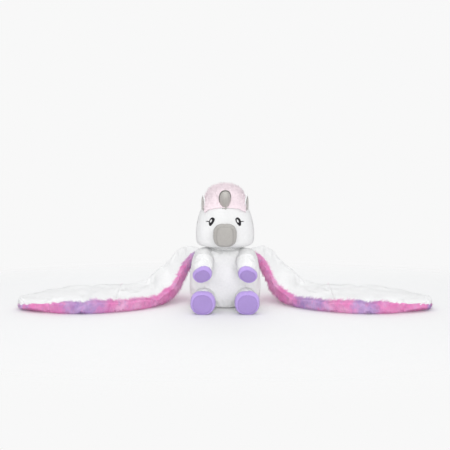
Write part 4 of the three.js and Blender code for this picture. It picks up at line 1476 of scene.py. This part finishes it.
LIMB_POWER = 2.3
LIMB_STEPS, LIMB_SIDES = 40, 48
LIMB_FINE = 3
SLEEVE_RINGS, SOLE_RINGS = 3, 6  # that close the two ends
CUFF_GROOVE = (0.0022, 0.0014)  # width and depth
SOLE_SUNK = 0.0012  # depth of the seam round the sole
TORSO_HOLDS = -0.004  # the part of a limb behind this stays as it is
HOOF_HELD = 0.95
BEND_BACK, BEND_OUT = 0.02, 0.006  # where a sleeve's bend would start and end, from its joint; given with the sleeve but not used to bend it
ARM_SPLAY, ARM_DROP, ARM_ROLL = math.radians(5), math.radians(33), math.radians(30)
ARM_BACK = unit((0, 1, 0.2))  # the way into the torso
LEG_SPLAY = math.radians(3)
ARM = {
    "radius": 0.0225,  # at the torso
    "reach": 0.054,
    "wide": 0.024,  # half width and half height at the hoof
    "high": 0.0175,
    "inside": 0.045,  # how far it starts inside the torso
    "cuff": 0.015,  # length of the hoof
    "bevel": 0.006,  # how far back the round edge of the sole begins
}
LEG = {
    "radius": 0.0245,
    "reach": 0.050,
    "wide": 0.0285,
    "high": 0.027,
    "inside": 0.03,
    "cuff": 0.020,
    "bevel": 0.012,
}


def limb_stations(radius, reach, wide, high, inside, cuff, bevel):
    """Half widths and heights along a limb."""
    neck = reach - max(cuff, bevel * 1.2)
    return (
        (-inside, radius * 0.92, radius * 0.92),
        (-inside * 0.5, radius * 0.98, radius * 0.98),
        (0, radius, radius),
        (neck * 0.6, (radius + wide) / 2, (radius + high) / 2),
        (neck, wide * 0.97, high * 0.97),
        (reach - bevel, wide, high),
        (reach - bevel * 0.5, wide * 0.975, high * 0.975),
        (reach - bevel * 0.16, wide * 0.91, high * 0.91),
        (reach, wide * 0.83, high * 0.83),
    )


def limb_rings(pivot, axis, over, back, size, sink, tilt, seed):
    """Rings of a filled limb, and the ring at which its hoof is sewn on."""
    reach, cuff = size["reach"], size["cuff"]
    rings = stuffed(pivot, axis, over, limb_stations(**size), LIMB_POWER, LIMB_STEPS, LIMB_SIDES)
    along = (rings.mean(1) - pivot) @ axis
    seam = int(np.argmin(np.abs(along - (reach - cuff))))
    rings[..., 2] -= sink * np.clip(1 - (reach - along) / cuff, 0, 1)[:, None] ** 2
    rings += np.outer(np.minimum(along, 0), -back - axis)[:, None]
    held = np.zeros(rings.shape[:2])
    held[along < TORSO_HOLDS] = 1
    held[seam] = SEAM_HELD
    held[along > reach - 0.5 * cuff] = HOOF_HELD
    held[-1] = 1
    ends = {"start": SLEEVE_RINGS, "end": SOLE_RINGS, "dome": 0.001}
    rings = stuffed_cover(rings, held, LIMB_FINE, **ends, pressure=2.5, slack=0.035, most=0.003)
    normals = ring_normals(rings)
    distance = np.abs((rings - pivot) @ axis - (reach - cuff))
    rings = groove(rings, normals, distance, *CUFF_GROOVE)
    sole = rings.shape[0] - 1 - SOLE_RINGS * LIMB_FINE
    rings[sole - 1 : sole + 2] -= SOLE_SUNK * normals[sole - 1 : sole + 2]
    rings = lumpy(rings, normals, high=0.0006, size=0.02, seed=seed)
    above = unit(over - axis * (over @ axis))
    turned = np.clip((rings - pivot) @ axis / reach, 0, 1) ** 3
    rings -= axis * (tilt * turned * ((rings - pivot) @ above))[..., None]
    return on_floor(rings), (seam + SLEEVE_RINGS) * LIMB_FINE


def make_limb(kind, name, axis, over, back, size, sink, tilt, seed):
    """A sleeve that starts inside the torso and a hoof with a flat sole.

    back is the way into the torso, sink how far the sole sits below the limb and tilt how far it turns up.
    """
    body = f"{kind}_{name}"
    pivot = np.array(JOINTS[f"{kind}_raise_{name}"]["pos_m"])
    rings, seam = limb_rings(pivot, axis, over, back, size, sink, tilt, seed)
    sleeve_rings = capped(rings[: seam + 1], end=3)
    sleeve = placed(mesh_of(f"{kind}_plush_{name}", sleeve_rings), material("white_plush"))
    riding = ("torso", body, tuple(pivot + back * BEND_BACK), tuple(pivot + axis * BEND_OUT))
    finish_piece(sleeve, riding, (f"{kind}_sleeve_{name}",))
    hoof_rings = capped(rings[seam:], start=3)
    hoof = placed(mesh_of(f"{kind}_hoof_plush_{name}", hoof_rings), material("lavender_plush"))
    # the sole takes the darker copy of the lavender, painted shade against the lighter cuff
    hoof.data.materials.append(material("lavender_sole"))
    last = (hoof_rings.shape[0] - 1) * LIMB_SIDES * LIMB_FINE
    first = last - SOLE_RINGS * LIMB_FINE * LIMB_SIDES * LIMB_FINE
    flags = np.zeros(len(hoof.data.polygons), np.int32)
    flags[first:last] = 1
    flags[last + 1 :: 2] = 1
    hoof.data.polygons.foreach_set("material_index", flags)
    finish_piece(hoof, body, (f"{kind}_hoof_{name}",))
    napped(sleeve, "white_nap", riding, seed=seed)
    thick = np.ones(len(hoof.data.vertices))
    thick[first:] = 0
    napped(hoof, "lavender_nap", body, thick=thick, seed=seed + 1)


class UNICORN_OT_arms(Operator):
    """Two short arms that end in lavender hooves"""

    bl_idname = "unicorn.arms"
    bl_label = "Arms"

    def execute(self, context):
        level, fall = math.cos(ARM_DROP), -math.sin(ARM_DROP)
        for name, side in SIDES:
            axis = np.array((side * math.sin(ARM_SPLAY) * level, -math.cos(ARM_SPLAY) * level, fall))
            over = np.array((side * math.sin(ARM_ROLL), 0, math.cos(ARM_ROLL)))
            make_limb("arm", name, axis, over, ARM_BACK, ARM, sink=0, tilt=0.2, seed=10)
        return {"FINISHED"}


class UNICORN_OT_legs(Operator):
    """Two short legs stretched forward, with flat lavender soles"""

    bl_idname = "unicorn.legs"
    bl_label = "Legs"

    def execute(self, context):
        for name, side in SIDES:
            axis = np.array((side * math.sin(LEG_SPLAY), -math.cos(LEG_SPLAY), 0))
            make_limb("leg", name, axis, UP, -AHEAD, LEG, sink=0.003, tilt=0, seed=14)
        return {"FINISHED"}


# Tail

TAIL_REACH, TAIL_RADIUS = 0.074, 0.015
TAIL_END = 0.019  # height of its tip
TAIL_STATIONS = (
    (-0.012, 0.1),
    (-0.008, 0.55),
    (0, 0.75),
    (TAIL_REACH * 0.45, 1.0),
    (TAIL_REACH * 0.8, 0.7),
    (TAIL_REACH * 0.95, 0.1),
)
TAIL_COMB, TAIL_FUR = 0.9, 1.15  # how far its fur lies back, and its length against the wings'
TAIL_DENSITY = 3.5e5


def spotted(mesh):
    """Keeps where each point is at rest, so that the dye stays put when the piece bends."""
    return noted(mesh, "spot", points_of(mesh))


class UNICORN_OT_tail(Operator):
    """A short roll of dyed fur behind the seat"""

    bl_idname = "unicorn.tail"
    bl_label = "Tail"

    def execute(self, context):
        pivot = np.array(JOINTS["tail_lift"]["pos_m"])
        axis = unit((0, TAIL_REACH, TAIL_END - pivot[2]))
        stations = round_stations(TAIL_STATIONS, TAIL_RADIUS)
        rings = stuffed(pivot, axis, UP, stations, power=2, steps=60, sides=64)
        tail = placed(spotted(mesh_of("tail_cloth", rings)), material("dyed_cloth"))
        comb = np.tile(axis * TAIL_COMB, (len(tail.data.vertices), 1))
        fur = grow(
            "tail_fur", tail, "fur_strand", "dyed_fur", TAIL_DENSITY, pile().fur * TAIL_FUR, comb,
            lean=1.0, clump=0.014, clump_mess=1.4, mess=0.35, seed=21,
        )
        finish_piece(tail, "tail", ("tail",))
        finish_piece(sheer(fur, FUR_SHARE), "tail")
        return {"FINISHED"}


# Wings

FRONT_EDGE = (  # shares of the way out, of the chord and of the height of the root
    (0.035, 0.14, 0.56),
    (0.09, 0.02, 0.2),
    (0.19, -0.2, 0.012),
    (0.42, -0.46, 0),
    (0.6, -0.52, 0),
    (0.79, -0.48, 0),
    (0.95, -0.37, 0),
    (1.0, -0.28, 0),
)
BACK_EDGE = (
    (0.04, 0.4, 1),
    (0.14, 0.47, 0.64),
    (0.27, 0.49, 0.17),
    (0.45, 0.48, 0.012),
    (0.62, 0.43, 0),
    (0.8, 0.3, 0),
    (0.95, 0.06, 0),
    (1.0, -0.14, 0),
)
WING_STEPS, WING_HALF = 72, 26  # rings, and points of a ring on the upper side
WING_FINE = 3
FOLDS = (3 / 8, 5 / 8)  # where stitched lines cross the wing
FOLD_WIDE, FOLD_DIP = 0.022, 0.2
ROOT_TO, TIP_FROM = 0.09, 0.9  # shares of the wing where it is full
TIP_POWER, TIP_LEAST = 2.2, 0.0016
TIP_FULL = 0.8  # power by which the tip grows thin as it narrows
LEAST_FULL = 0.05  # share of its thickness that a wing keeps at both ends
WING_ENDS = 3  # rings that are held at both ends
EDGE_TURN = 1.5  # how far in a pillow's edge is round, in half thicknesses
NARROW_FROM = 2.6  # the round edges shrink where the wing is narrower than so many of them
EVENLY = 0.28  # how evenly the points of a ring are spread, the rest crowding to the edges
NUDGE = 1e-3  # step each way along the wing, to find which way is up
RIM_RISE = 0.006
SMALL_LUMPS, LARGE_LUMPS = 0.0012, 0.0016  # heights
BARE_RIM = 7  # points in from the back edge with little fur
WHITE_RIM = 8  # points that the white cloth comes under the back edge
DYED_RIM = 0.014  # how far the dyed cloth comes over the front edge
DYED_RAGGED = 0.004  # how far the end of it wanders
TIP_DYE_FROM, TIP_DYE_WIDE = 0.68, 0.3  # shares of the reach along which that grows less
TIP_DYE_LESS = 1.4  # share of it that is lost at the tip, where the white comes round the edge
EDGE_HELD = 0.95
FUR_ROOM = 0.001
BEND_HALF = 0.03  # each side of a fold, given with the piece but not used to bend it
FUR_DENSITY, WING_NAP_DENSITY = 3.4e5, 2.8e5
FUR_COMB = (0.35, 0, -0.35)
NAP_LIES = 0.6  # how far the wing's pile is combed, against its fur
NEAR_FRONT, NEAR_BACK = 0.33, 0.2  # shares of the upper side where the fur shows
FRONT_SHOWS, BACK_SHOWS = 1.4, 0.8  # how fully it shows at these edges
HIDDEN_FUR = 0.12  # how thick it is where it doesn't show
HIDDEN_TALL, SHOWN_TALL = 0.6, 0.5  # share of its length there, and what is added where it shows
TIP_SHORTER = 0.5  # share of its length that is lost at the tip
FLOOR_FUR, FLOOR_RISE = 0.4, 0.012  # share on the floor, and rise in which a whole length is added


def wing_edges():
    """The left wing's front and back edges, as functions of the share of the way to the tip."""
    s = sizes()
    joint = JOINTS["wing_raise_left"]
    root = np.array(joint["pos_m"])
    along = np.array(joint["axis"]) * s.wing_seam / 2
    beside = s.torso_width / 2
    rest = s.wing_thickness / 2
    drop = root[2] - rest
    far = s.wing_reach - FUR_ROOM - beside

    def place(edge, start):
        rows = [(beside + out * far, back * s.wing_chord, rest + high * drop) for out, back, high in edge]
        return np.array([start, *rows])

    front, back = place(FRONT_EDGE, root + along), place(BACK_EDGE, root - along)
    return (lambda u: curve_at(front, u)), (lambda u: curve_at(back, u))


def wing_rings():
    """Closed rings of the left wing from root to tip: over the top from the front edge, back underneath."""
    front, back = wing_edges()
    rest = sizes().wing_thickness / 2
    turn = rest * EDGE_TURN
    share = (1 - np.cos(np.linspace(0, math.pi, WING_HALF))) / 2
    share = (1 - EVENLY) * share + EVENLY * np.linspace(0, 1, WING_HALF)
    rings = []
    for i in range(WING_STEPS + 1):
        u = i / WING_STEPS
        f0, b0 = front(max(u - NUDGE, 0)), back(max(u - NUDGE, 0))
        f1, b1 = front(min(u + NUDGE, 1)), back(min(u + NUDGE, 1))
        f, b = front(u), back(u)
        straight = b - f
        chord = np.linalg.norm(straight)
        past = max(0, (u - TIP_FROM) / (1 - TIP_FROM))
        taper = math.sqrt(max(1 - past**TIP_POWER, TIP_LEAST))
        middle = (f + b) / 2
        f, b = middle + (f - middle) * taper, middle + (b - middle) * taper
        swell_at_root = math.sin(min(u / ROOT_TO, 1) * math.pi / 2)
        dips = 1 - FOLD_DIP * sum(math.exp(-(((u - fold) / FOLD_WIDE) ** 2)) for fold in FOLDS)
        ends = max(LEAST_FULL, swell_at_root * dips * taper**TIP_FULL)
        narrow = min(1, chord * taper / (NARROW_FROM * turn))
        rim = RIM_RISE * ends
        top, under = [], []
        for v in share:
            along = (f1 + (b1 - f1) * v) - (f0 + (b0 - f0) * v)
            up = unit(np.cross(along, straight))
            inward = min(v, 1 - v) * chord * taper
            full = math.sqrt(1 - (1 - min(inward / (turn * narrow), 1)) ** 2)
            at = f + (b - f) * v
            top.append(at + up * (rim + (rest * ends - rim) * full))
            under.append(at + up * (rim - (rest * ends + rim) * full))
        rings.append(np.array(top + under[-2:0:-1]))
    return np.array(rings)


class UNICORN_OT_wings(Operator):
    """Two long wings: white pile above, dyed fur below and round the edges, filled in three pockets"""

    bl_idname = "unicorn.wings"
    bl_label = "Wings"

    def execute(self, context):
        rings = wing_rings()
        held = np.zeros(rings.shape[:2])
        held[:, 0] = held[:, WING_HALF - 1] = EDGE_HELD
        held[:WING_ENDS] = held[-WING_ENDS:] = 1
        rings = stuffed_cover(rings, held, WING_FINE, pressure=1.2, slack=0.045, most=0.007)
        small, large = lumps(rings, size=0.03, seed=9), lumps(rings, size=0.09, seed=12)
        wobble = SMALL_LUMPS * small + LARGE_LUMPS * large
        rings = on_floor(raised(rings, ring_normals(rings), wobble))
        cut = WING_STEPS // 2 * WING_FINE
        for name, side in SIDES:
            shaped = rings * (side, 1, 1)
            self.make_part(name, side, "inner", shaped[: cut + 1])
            self.make_part(name, side, "outer", shaped[cut:])
        return {"FINISHED"}

    def make_part(self, name, side, part, rings):
        """The inner or outer half of a wing, with the fold that crosses it."""
        inner = part == "inner"
        bodies = ("root", "middle") if inner else ("middle", "tip")
        covers = bodies if inner else ("tip",)
        joint = JOINTS[f"wing_{part}_fold_{name}"]
        at = np.array(joint["pos_m"])
        across = unit(np.cross(joint["axis"], UP)) * BEND_HALF
        across *= math.copysign(1, across[0] * side)
        ends = (tuple(at - across), tuple(at + across))
        riding = (f"wing_{bodies[0]}_{name}", f"wing_{bodies[1]}_{name}", *ends)
        replaced = [f"wing_{cover}_{layer}_{name}" for cover in covers for layer in ("top", "fur")]
        skin = placed(spotted(mesh_of(f"wing_{part}_plush_{name}", rings)), material("white_plush"))
        skin.data.materials.append(material("dyed_cloth"))
        white, to_tip = self.white_side(rings)
        flags = np.zeros(len(skin.data.polygons), np.int32)
        flags[: white[:-1].size] = ~white[:-1].reshape(-1)
        skin.data.polygons.foreach_set("material_index", flags)
        thick, tall, share = self.fur_cover(points_of(skin.data), white, to_tip)
        comb = np.tile(FUR_COMB, (len(share), 1)) * (side, 1, 1)
        seed = (side > 0) + 2 * inner
        fur = grow(
            f"wing_{part}_fur_{name}", skin, "fur_strand", "dyed_fur", FUR_DENSITY, pile().fur,
            comb, thick, tall, lean=1.5, clump=0.013, clump_mess=1.5, mess=0.3, seed=30 + seed,
        )
        nap = grow(
            f"wing_{part}_nap_{name}", skin, "nap_strand", "white_nap", WING_NAP_DENSITY, pile().nap,
            comb * NAP_LIES, share, lean=1.4, clump=0.014, clump_mess=1.6, mess=0.3, seed=40 + seed,
        )
        finish_piece(skin, riding, replaced)
        finish_piece(sheer(fur, FUR_SHARE), riding)
        finish_piece(sheer(nap), riding)

    def white_side(self, rings):
        """Which points are white cloth, and how near each is to the tip."""
        sides = rings.shape[1]
        column = np.arange(sides)
        back_edge = (WING_HALF - 1) * WING_FINE
        is_top = column <= back_edge
        over = np.linalg.norm(rings - rings[:, :1], axis=-1)
        over += DYED_RAGGED * lumps(rings, size=0.012, seed=17)
        over = np.where(is_top, over, -over)
        reach = np.abs(rings[..., 0]) / sizes().wing_reach
        to_tip = np.clip((reach - TIP_DYE_FROM) / TIP_DYE_WIDE, 0, 1)
        near_front = np.minimum(column, sides - column) < sides // 4
        past_rim = (over > DYED_RIM * (1 - TIP_DYE_LESS * to_tip)) & near_front
        round_back = np.abs(column - back_edge) < WHITE_RIM
        return past_rim | (is_top & ~near_front) | round_back, to_tip

    def fur_cover(self, co, white, to_tip):
        """How thick and tall the fur stands at each point, and the share of it that is white pile."""
        rows, sides = white.shape
        count = rows * sides
        column = np.tile(np.arange(sides), rows)
        top_count = (WING_HALF - 1) * WING_FINE + 1
        from_front = np.minimum(column, sides - column)
        from_back = np.abs(column - (top_count - 1))
        share, near_front, near_back = np.zeros((3, len(co)))
        share[:count] = white.reshape(-1)
        near_front[:count] = np.clip(1 - from_front / (top_count * NEAR_FRONT), 0, 1)
        near_back[:count] = np.clip(1 - from_back / (top_count * NEAR_BACK), 0, 1)
        shows = np.clip(FRONT_SHOWS * near_front + BACK_SHOWS * near_back, 0, 1)
        thick = (1 - share) * (HIDDEN_FUR + (1 - HIDDEN_FUR) * shows)
        thick[:count] *= 1 - np.exp(-((from_back / BARE_RIM) ** 2))
        tall = np.clip(HIDDEN_TALL + SHOWN_TALL * shows, 0, 1)
        tall *= np.clip(FLOOR_FUR + co[:, 2] / FLOOR_RISE, FLOOR_FUR, 1)
        tall[:count] *= 1 - TIP_SHORTER * to_tip.reshape(-1)
        return thick, tall, share


# What is inside: loose filling and bead pouches keep the shape of their solids


class UNICORN_OT_filling(Operator):
    """Finishes for the filling and the bead pouches inside the covers"""

    bl_idname = "unicorn.filling"
    bl_label = "Filling"

    def execute(self, context):
        for name, node in frame["nodes"].items():
            for word, made in (("pouch", "bead_pouch"), ("stuffing", "fibre_fill")):
                if word in name:
                    node.data.materials.clear()
                    node.data.materials.append(material(made))
        return {"FINISHED"}


# Stage

LAMPS = (  # place, size and power
    ("key", (-1.5, -1.6, 2.1), 1.6, 7),
    ("front", (0.3, -2.6, 0.8), 1.8, 29),
    ("top", (0, 0.2, 2.4), 1.8, 13),
    ("back", (0, 2.0, 1.3), 1.8, 8),
)
LAMP_AIM = Vector((0, 0, 0.12))
SENSOR = 36
BACKDROP = (0.939, 0.939, 0.939, 1)
SKY = (0.98, 0.99, 1.0, 1)
SKY_STRENGTH = 0.75
FLOOR_COLOUR = (0.81, 0.81, 0.81, 1)
FLOOR_RADIUS = 1.7
FLOOR_LOW = 0.0005  # below the toy
FLOOR_SQUASH = (0.6, 1, 1)  # so that the floor fades further out at its sides
FADE_FROM, FADE_TO = 0.35, 0.8


class UNICORN_OT_stage(Operator):
    """Pale floor, soft light and the photograph's camera"""

    bl_idname = "unicorn.stage"
    bl_label = "Stage"
    distance: length("Distance", 1.9186, "Camera to the toy")
    height: length("Height", 0.3921, "Camera above the floor")
    tilt: turning("Tilt", 5.79, "Camera below level")
    lens: FloatProperty(name="Lens", description="Focal length in millimetres", default=62.28)

    def execute(self, context):
        scene = context.scene
        camera = bpy.data.cameras.new("camera")
        camera.lens = self.lens
        camera.sensor_width = SENSOR
        scene.camera = linked("camera", camera)
        scene.camera.location = (0, -self.distance, self.height)
        scene.camera.rotation_euler = (math.pi / 2 - self.tilt, 0, 0)
        scene.view_settings.view_transform = "Standard"
        self.backdrop(scene)
        self.floor()
        for lamp in LAMPS:
            self.lamp(*lamp)
        return {"FINISHED"}

    def backdrop(self, scene):
        """A world that shows the photograph's plain background and lights a little differently."""
        world = bpy.data.worlds.new("studio")
        world.use_nodes = True
        tree = world.node_tree
        path = add(tree, "ShaderNodeLightPath").outputs
        seen = math_node(tree, "MAXIMUM", path["Is Camera Ray"], path["Is Glossy Ray"])
        seen = math_node(tree, "MAXIMUM", seen, path["Is Transmission Ray"])
        shown = add(tree, "ShaderNodeBackground", {"Color": BACKDROP, "Strength": 1.0})
        light = add(tree, "ShaderNodeBackground", {"Color": SKY, "Strength": SKY_STRENGTH})
        both = add(tree, "ShaderNodeMixShader", {0: seen, 1: light.outputs[0], 2: shown.outputs[0]})
        tree.links.new(both.outputs[0], tree.nodes["World Output"].inputs["Surface"])
        scene.world = world

    def floor(self):
        """A round floor that fades into the backdrop."""
        mesh = bpy.data.meshes.new("floor")
        work = bmesh.new()
        bmesh.ops.create_circle(work, cap_ends=True, segments=96, radius=FLOOR_RADIUS)
        work.to_mesh(mesh)
        work.free()
        made, tree, shader = bare("floor", rough=0.9)
        shader["Base Color"].default_value = FLOOR_COLOUR
        floor = placed(mesh, made)
        floor.location.z = -FLOOR_LOW
        place = add(tree, "ShaderNodeTexCoord").outputs["Object"]
        near = vector_math(tree, "MULTIPLY", place, FLOOR_SQUASH)
        away = add(tree, "ShaderNodeVectorMath", {0: near}, operation="LENGTH").outputs["Value"]
        fade = ramp(tree, away, FADE_FROM, FADE_TO, kind="SMOOTHSTEP")
        solid = tree.nodes["Principled BSDF"].outputs[0]
        clear = add(tree, "ShaderNodeBsdfTransparent").outputs[0]
        both = add(tree, "ShaderNodeMixShader", {0: fade, 1: solid, 2: clear})
        tree.links.new(both.outputs[0], tree.nodes["Material Output"].inputs["Surface"])

    def lamp(self, name, place, size, power):
        light = bpy.data.lights.new(name, "AREA")
        light.size = size
        light.energy = power
        obj = linked(name, light)
        obj.location = place
        obj.rotation_euler = (LAMP_AIM - Vector(place)).to_track_quat("-Z", "Y").to_euler()


PIECES = (
    UNICORN_OT_stage,
    UNICORN_OT_torso,
    UNICORN_OT_neck,
    UNICORN_OT_head,
    UNICORN_OT_mane,
    UNICORN_OT_snout,
    UNICORN_OT_horn,
    UNICORN_OT_ears,
    UNICORN_OT_eyes,
    UNICORN_OT_arms,
    UNICORN_OT_legs,
    UNICORN_OT_tail,
    UNICORN_OT_wings,
    UNICORN_OT_filling,
)
SETTINGS = {"unicorn_sizes": UnicornSizes, "unicorn_pile": UnicornPile, "unicorn_colours": UnicornColours}


class UNICORN_PT_pieces(Panel):
    """Lists the pieces and their sizes"""

    bl_idname = "UNICORN_PT_pieces"
    bl_label = "Unicorn"
    bl_space_type = "VIEW_3D"
    bl_region_type = "UI"
    bl_category = "Unicorn"

    def draw(self, context):
        for piece in PIECES:
            self.layout.operator(piece.bl_idname)
        for group in SETTINGS:
            settings = getattr(context.scene, group)
            for name in settings.bl_rna.properties.keys():
                if name not in ("name", "rna_type"):
                    self.layout.prop(settings, name)


CLASSES = (*SETTINGS.values(), *PIECES, UNICORN_PT_pieces)


def register():
    for cls in CLASSES:
        bpy.utils.register_class(cls)
    for name, group in SETTINGS.items():
        setattr(bpy.types.Scene, name, PointerProperty(type=group))


def unregister():
    for name in SETTINGS:
        delattr(bpy.types.Scene, name)
    for cls in reversed(CLASSES):
        bpy.utils.unregister_class(cls)


def main():
    register()
    for piece in PIECES:
        group, name = piece.bl_idname.split(".")
        getattr(getattr(bpy.ops, group), name)()


if __name__ == "__main__":
    main()
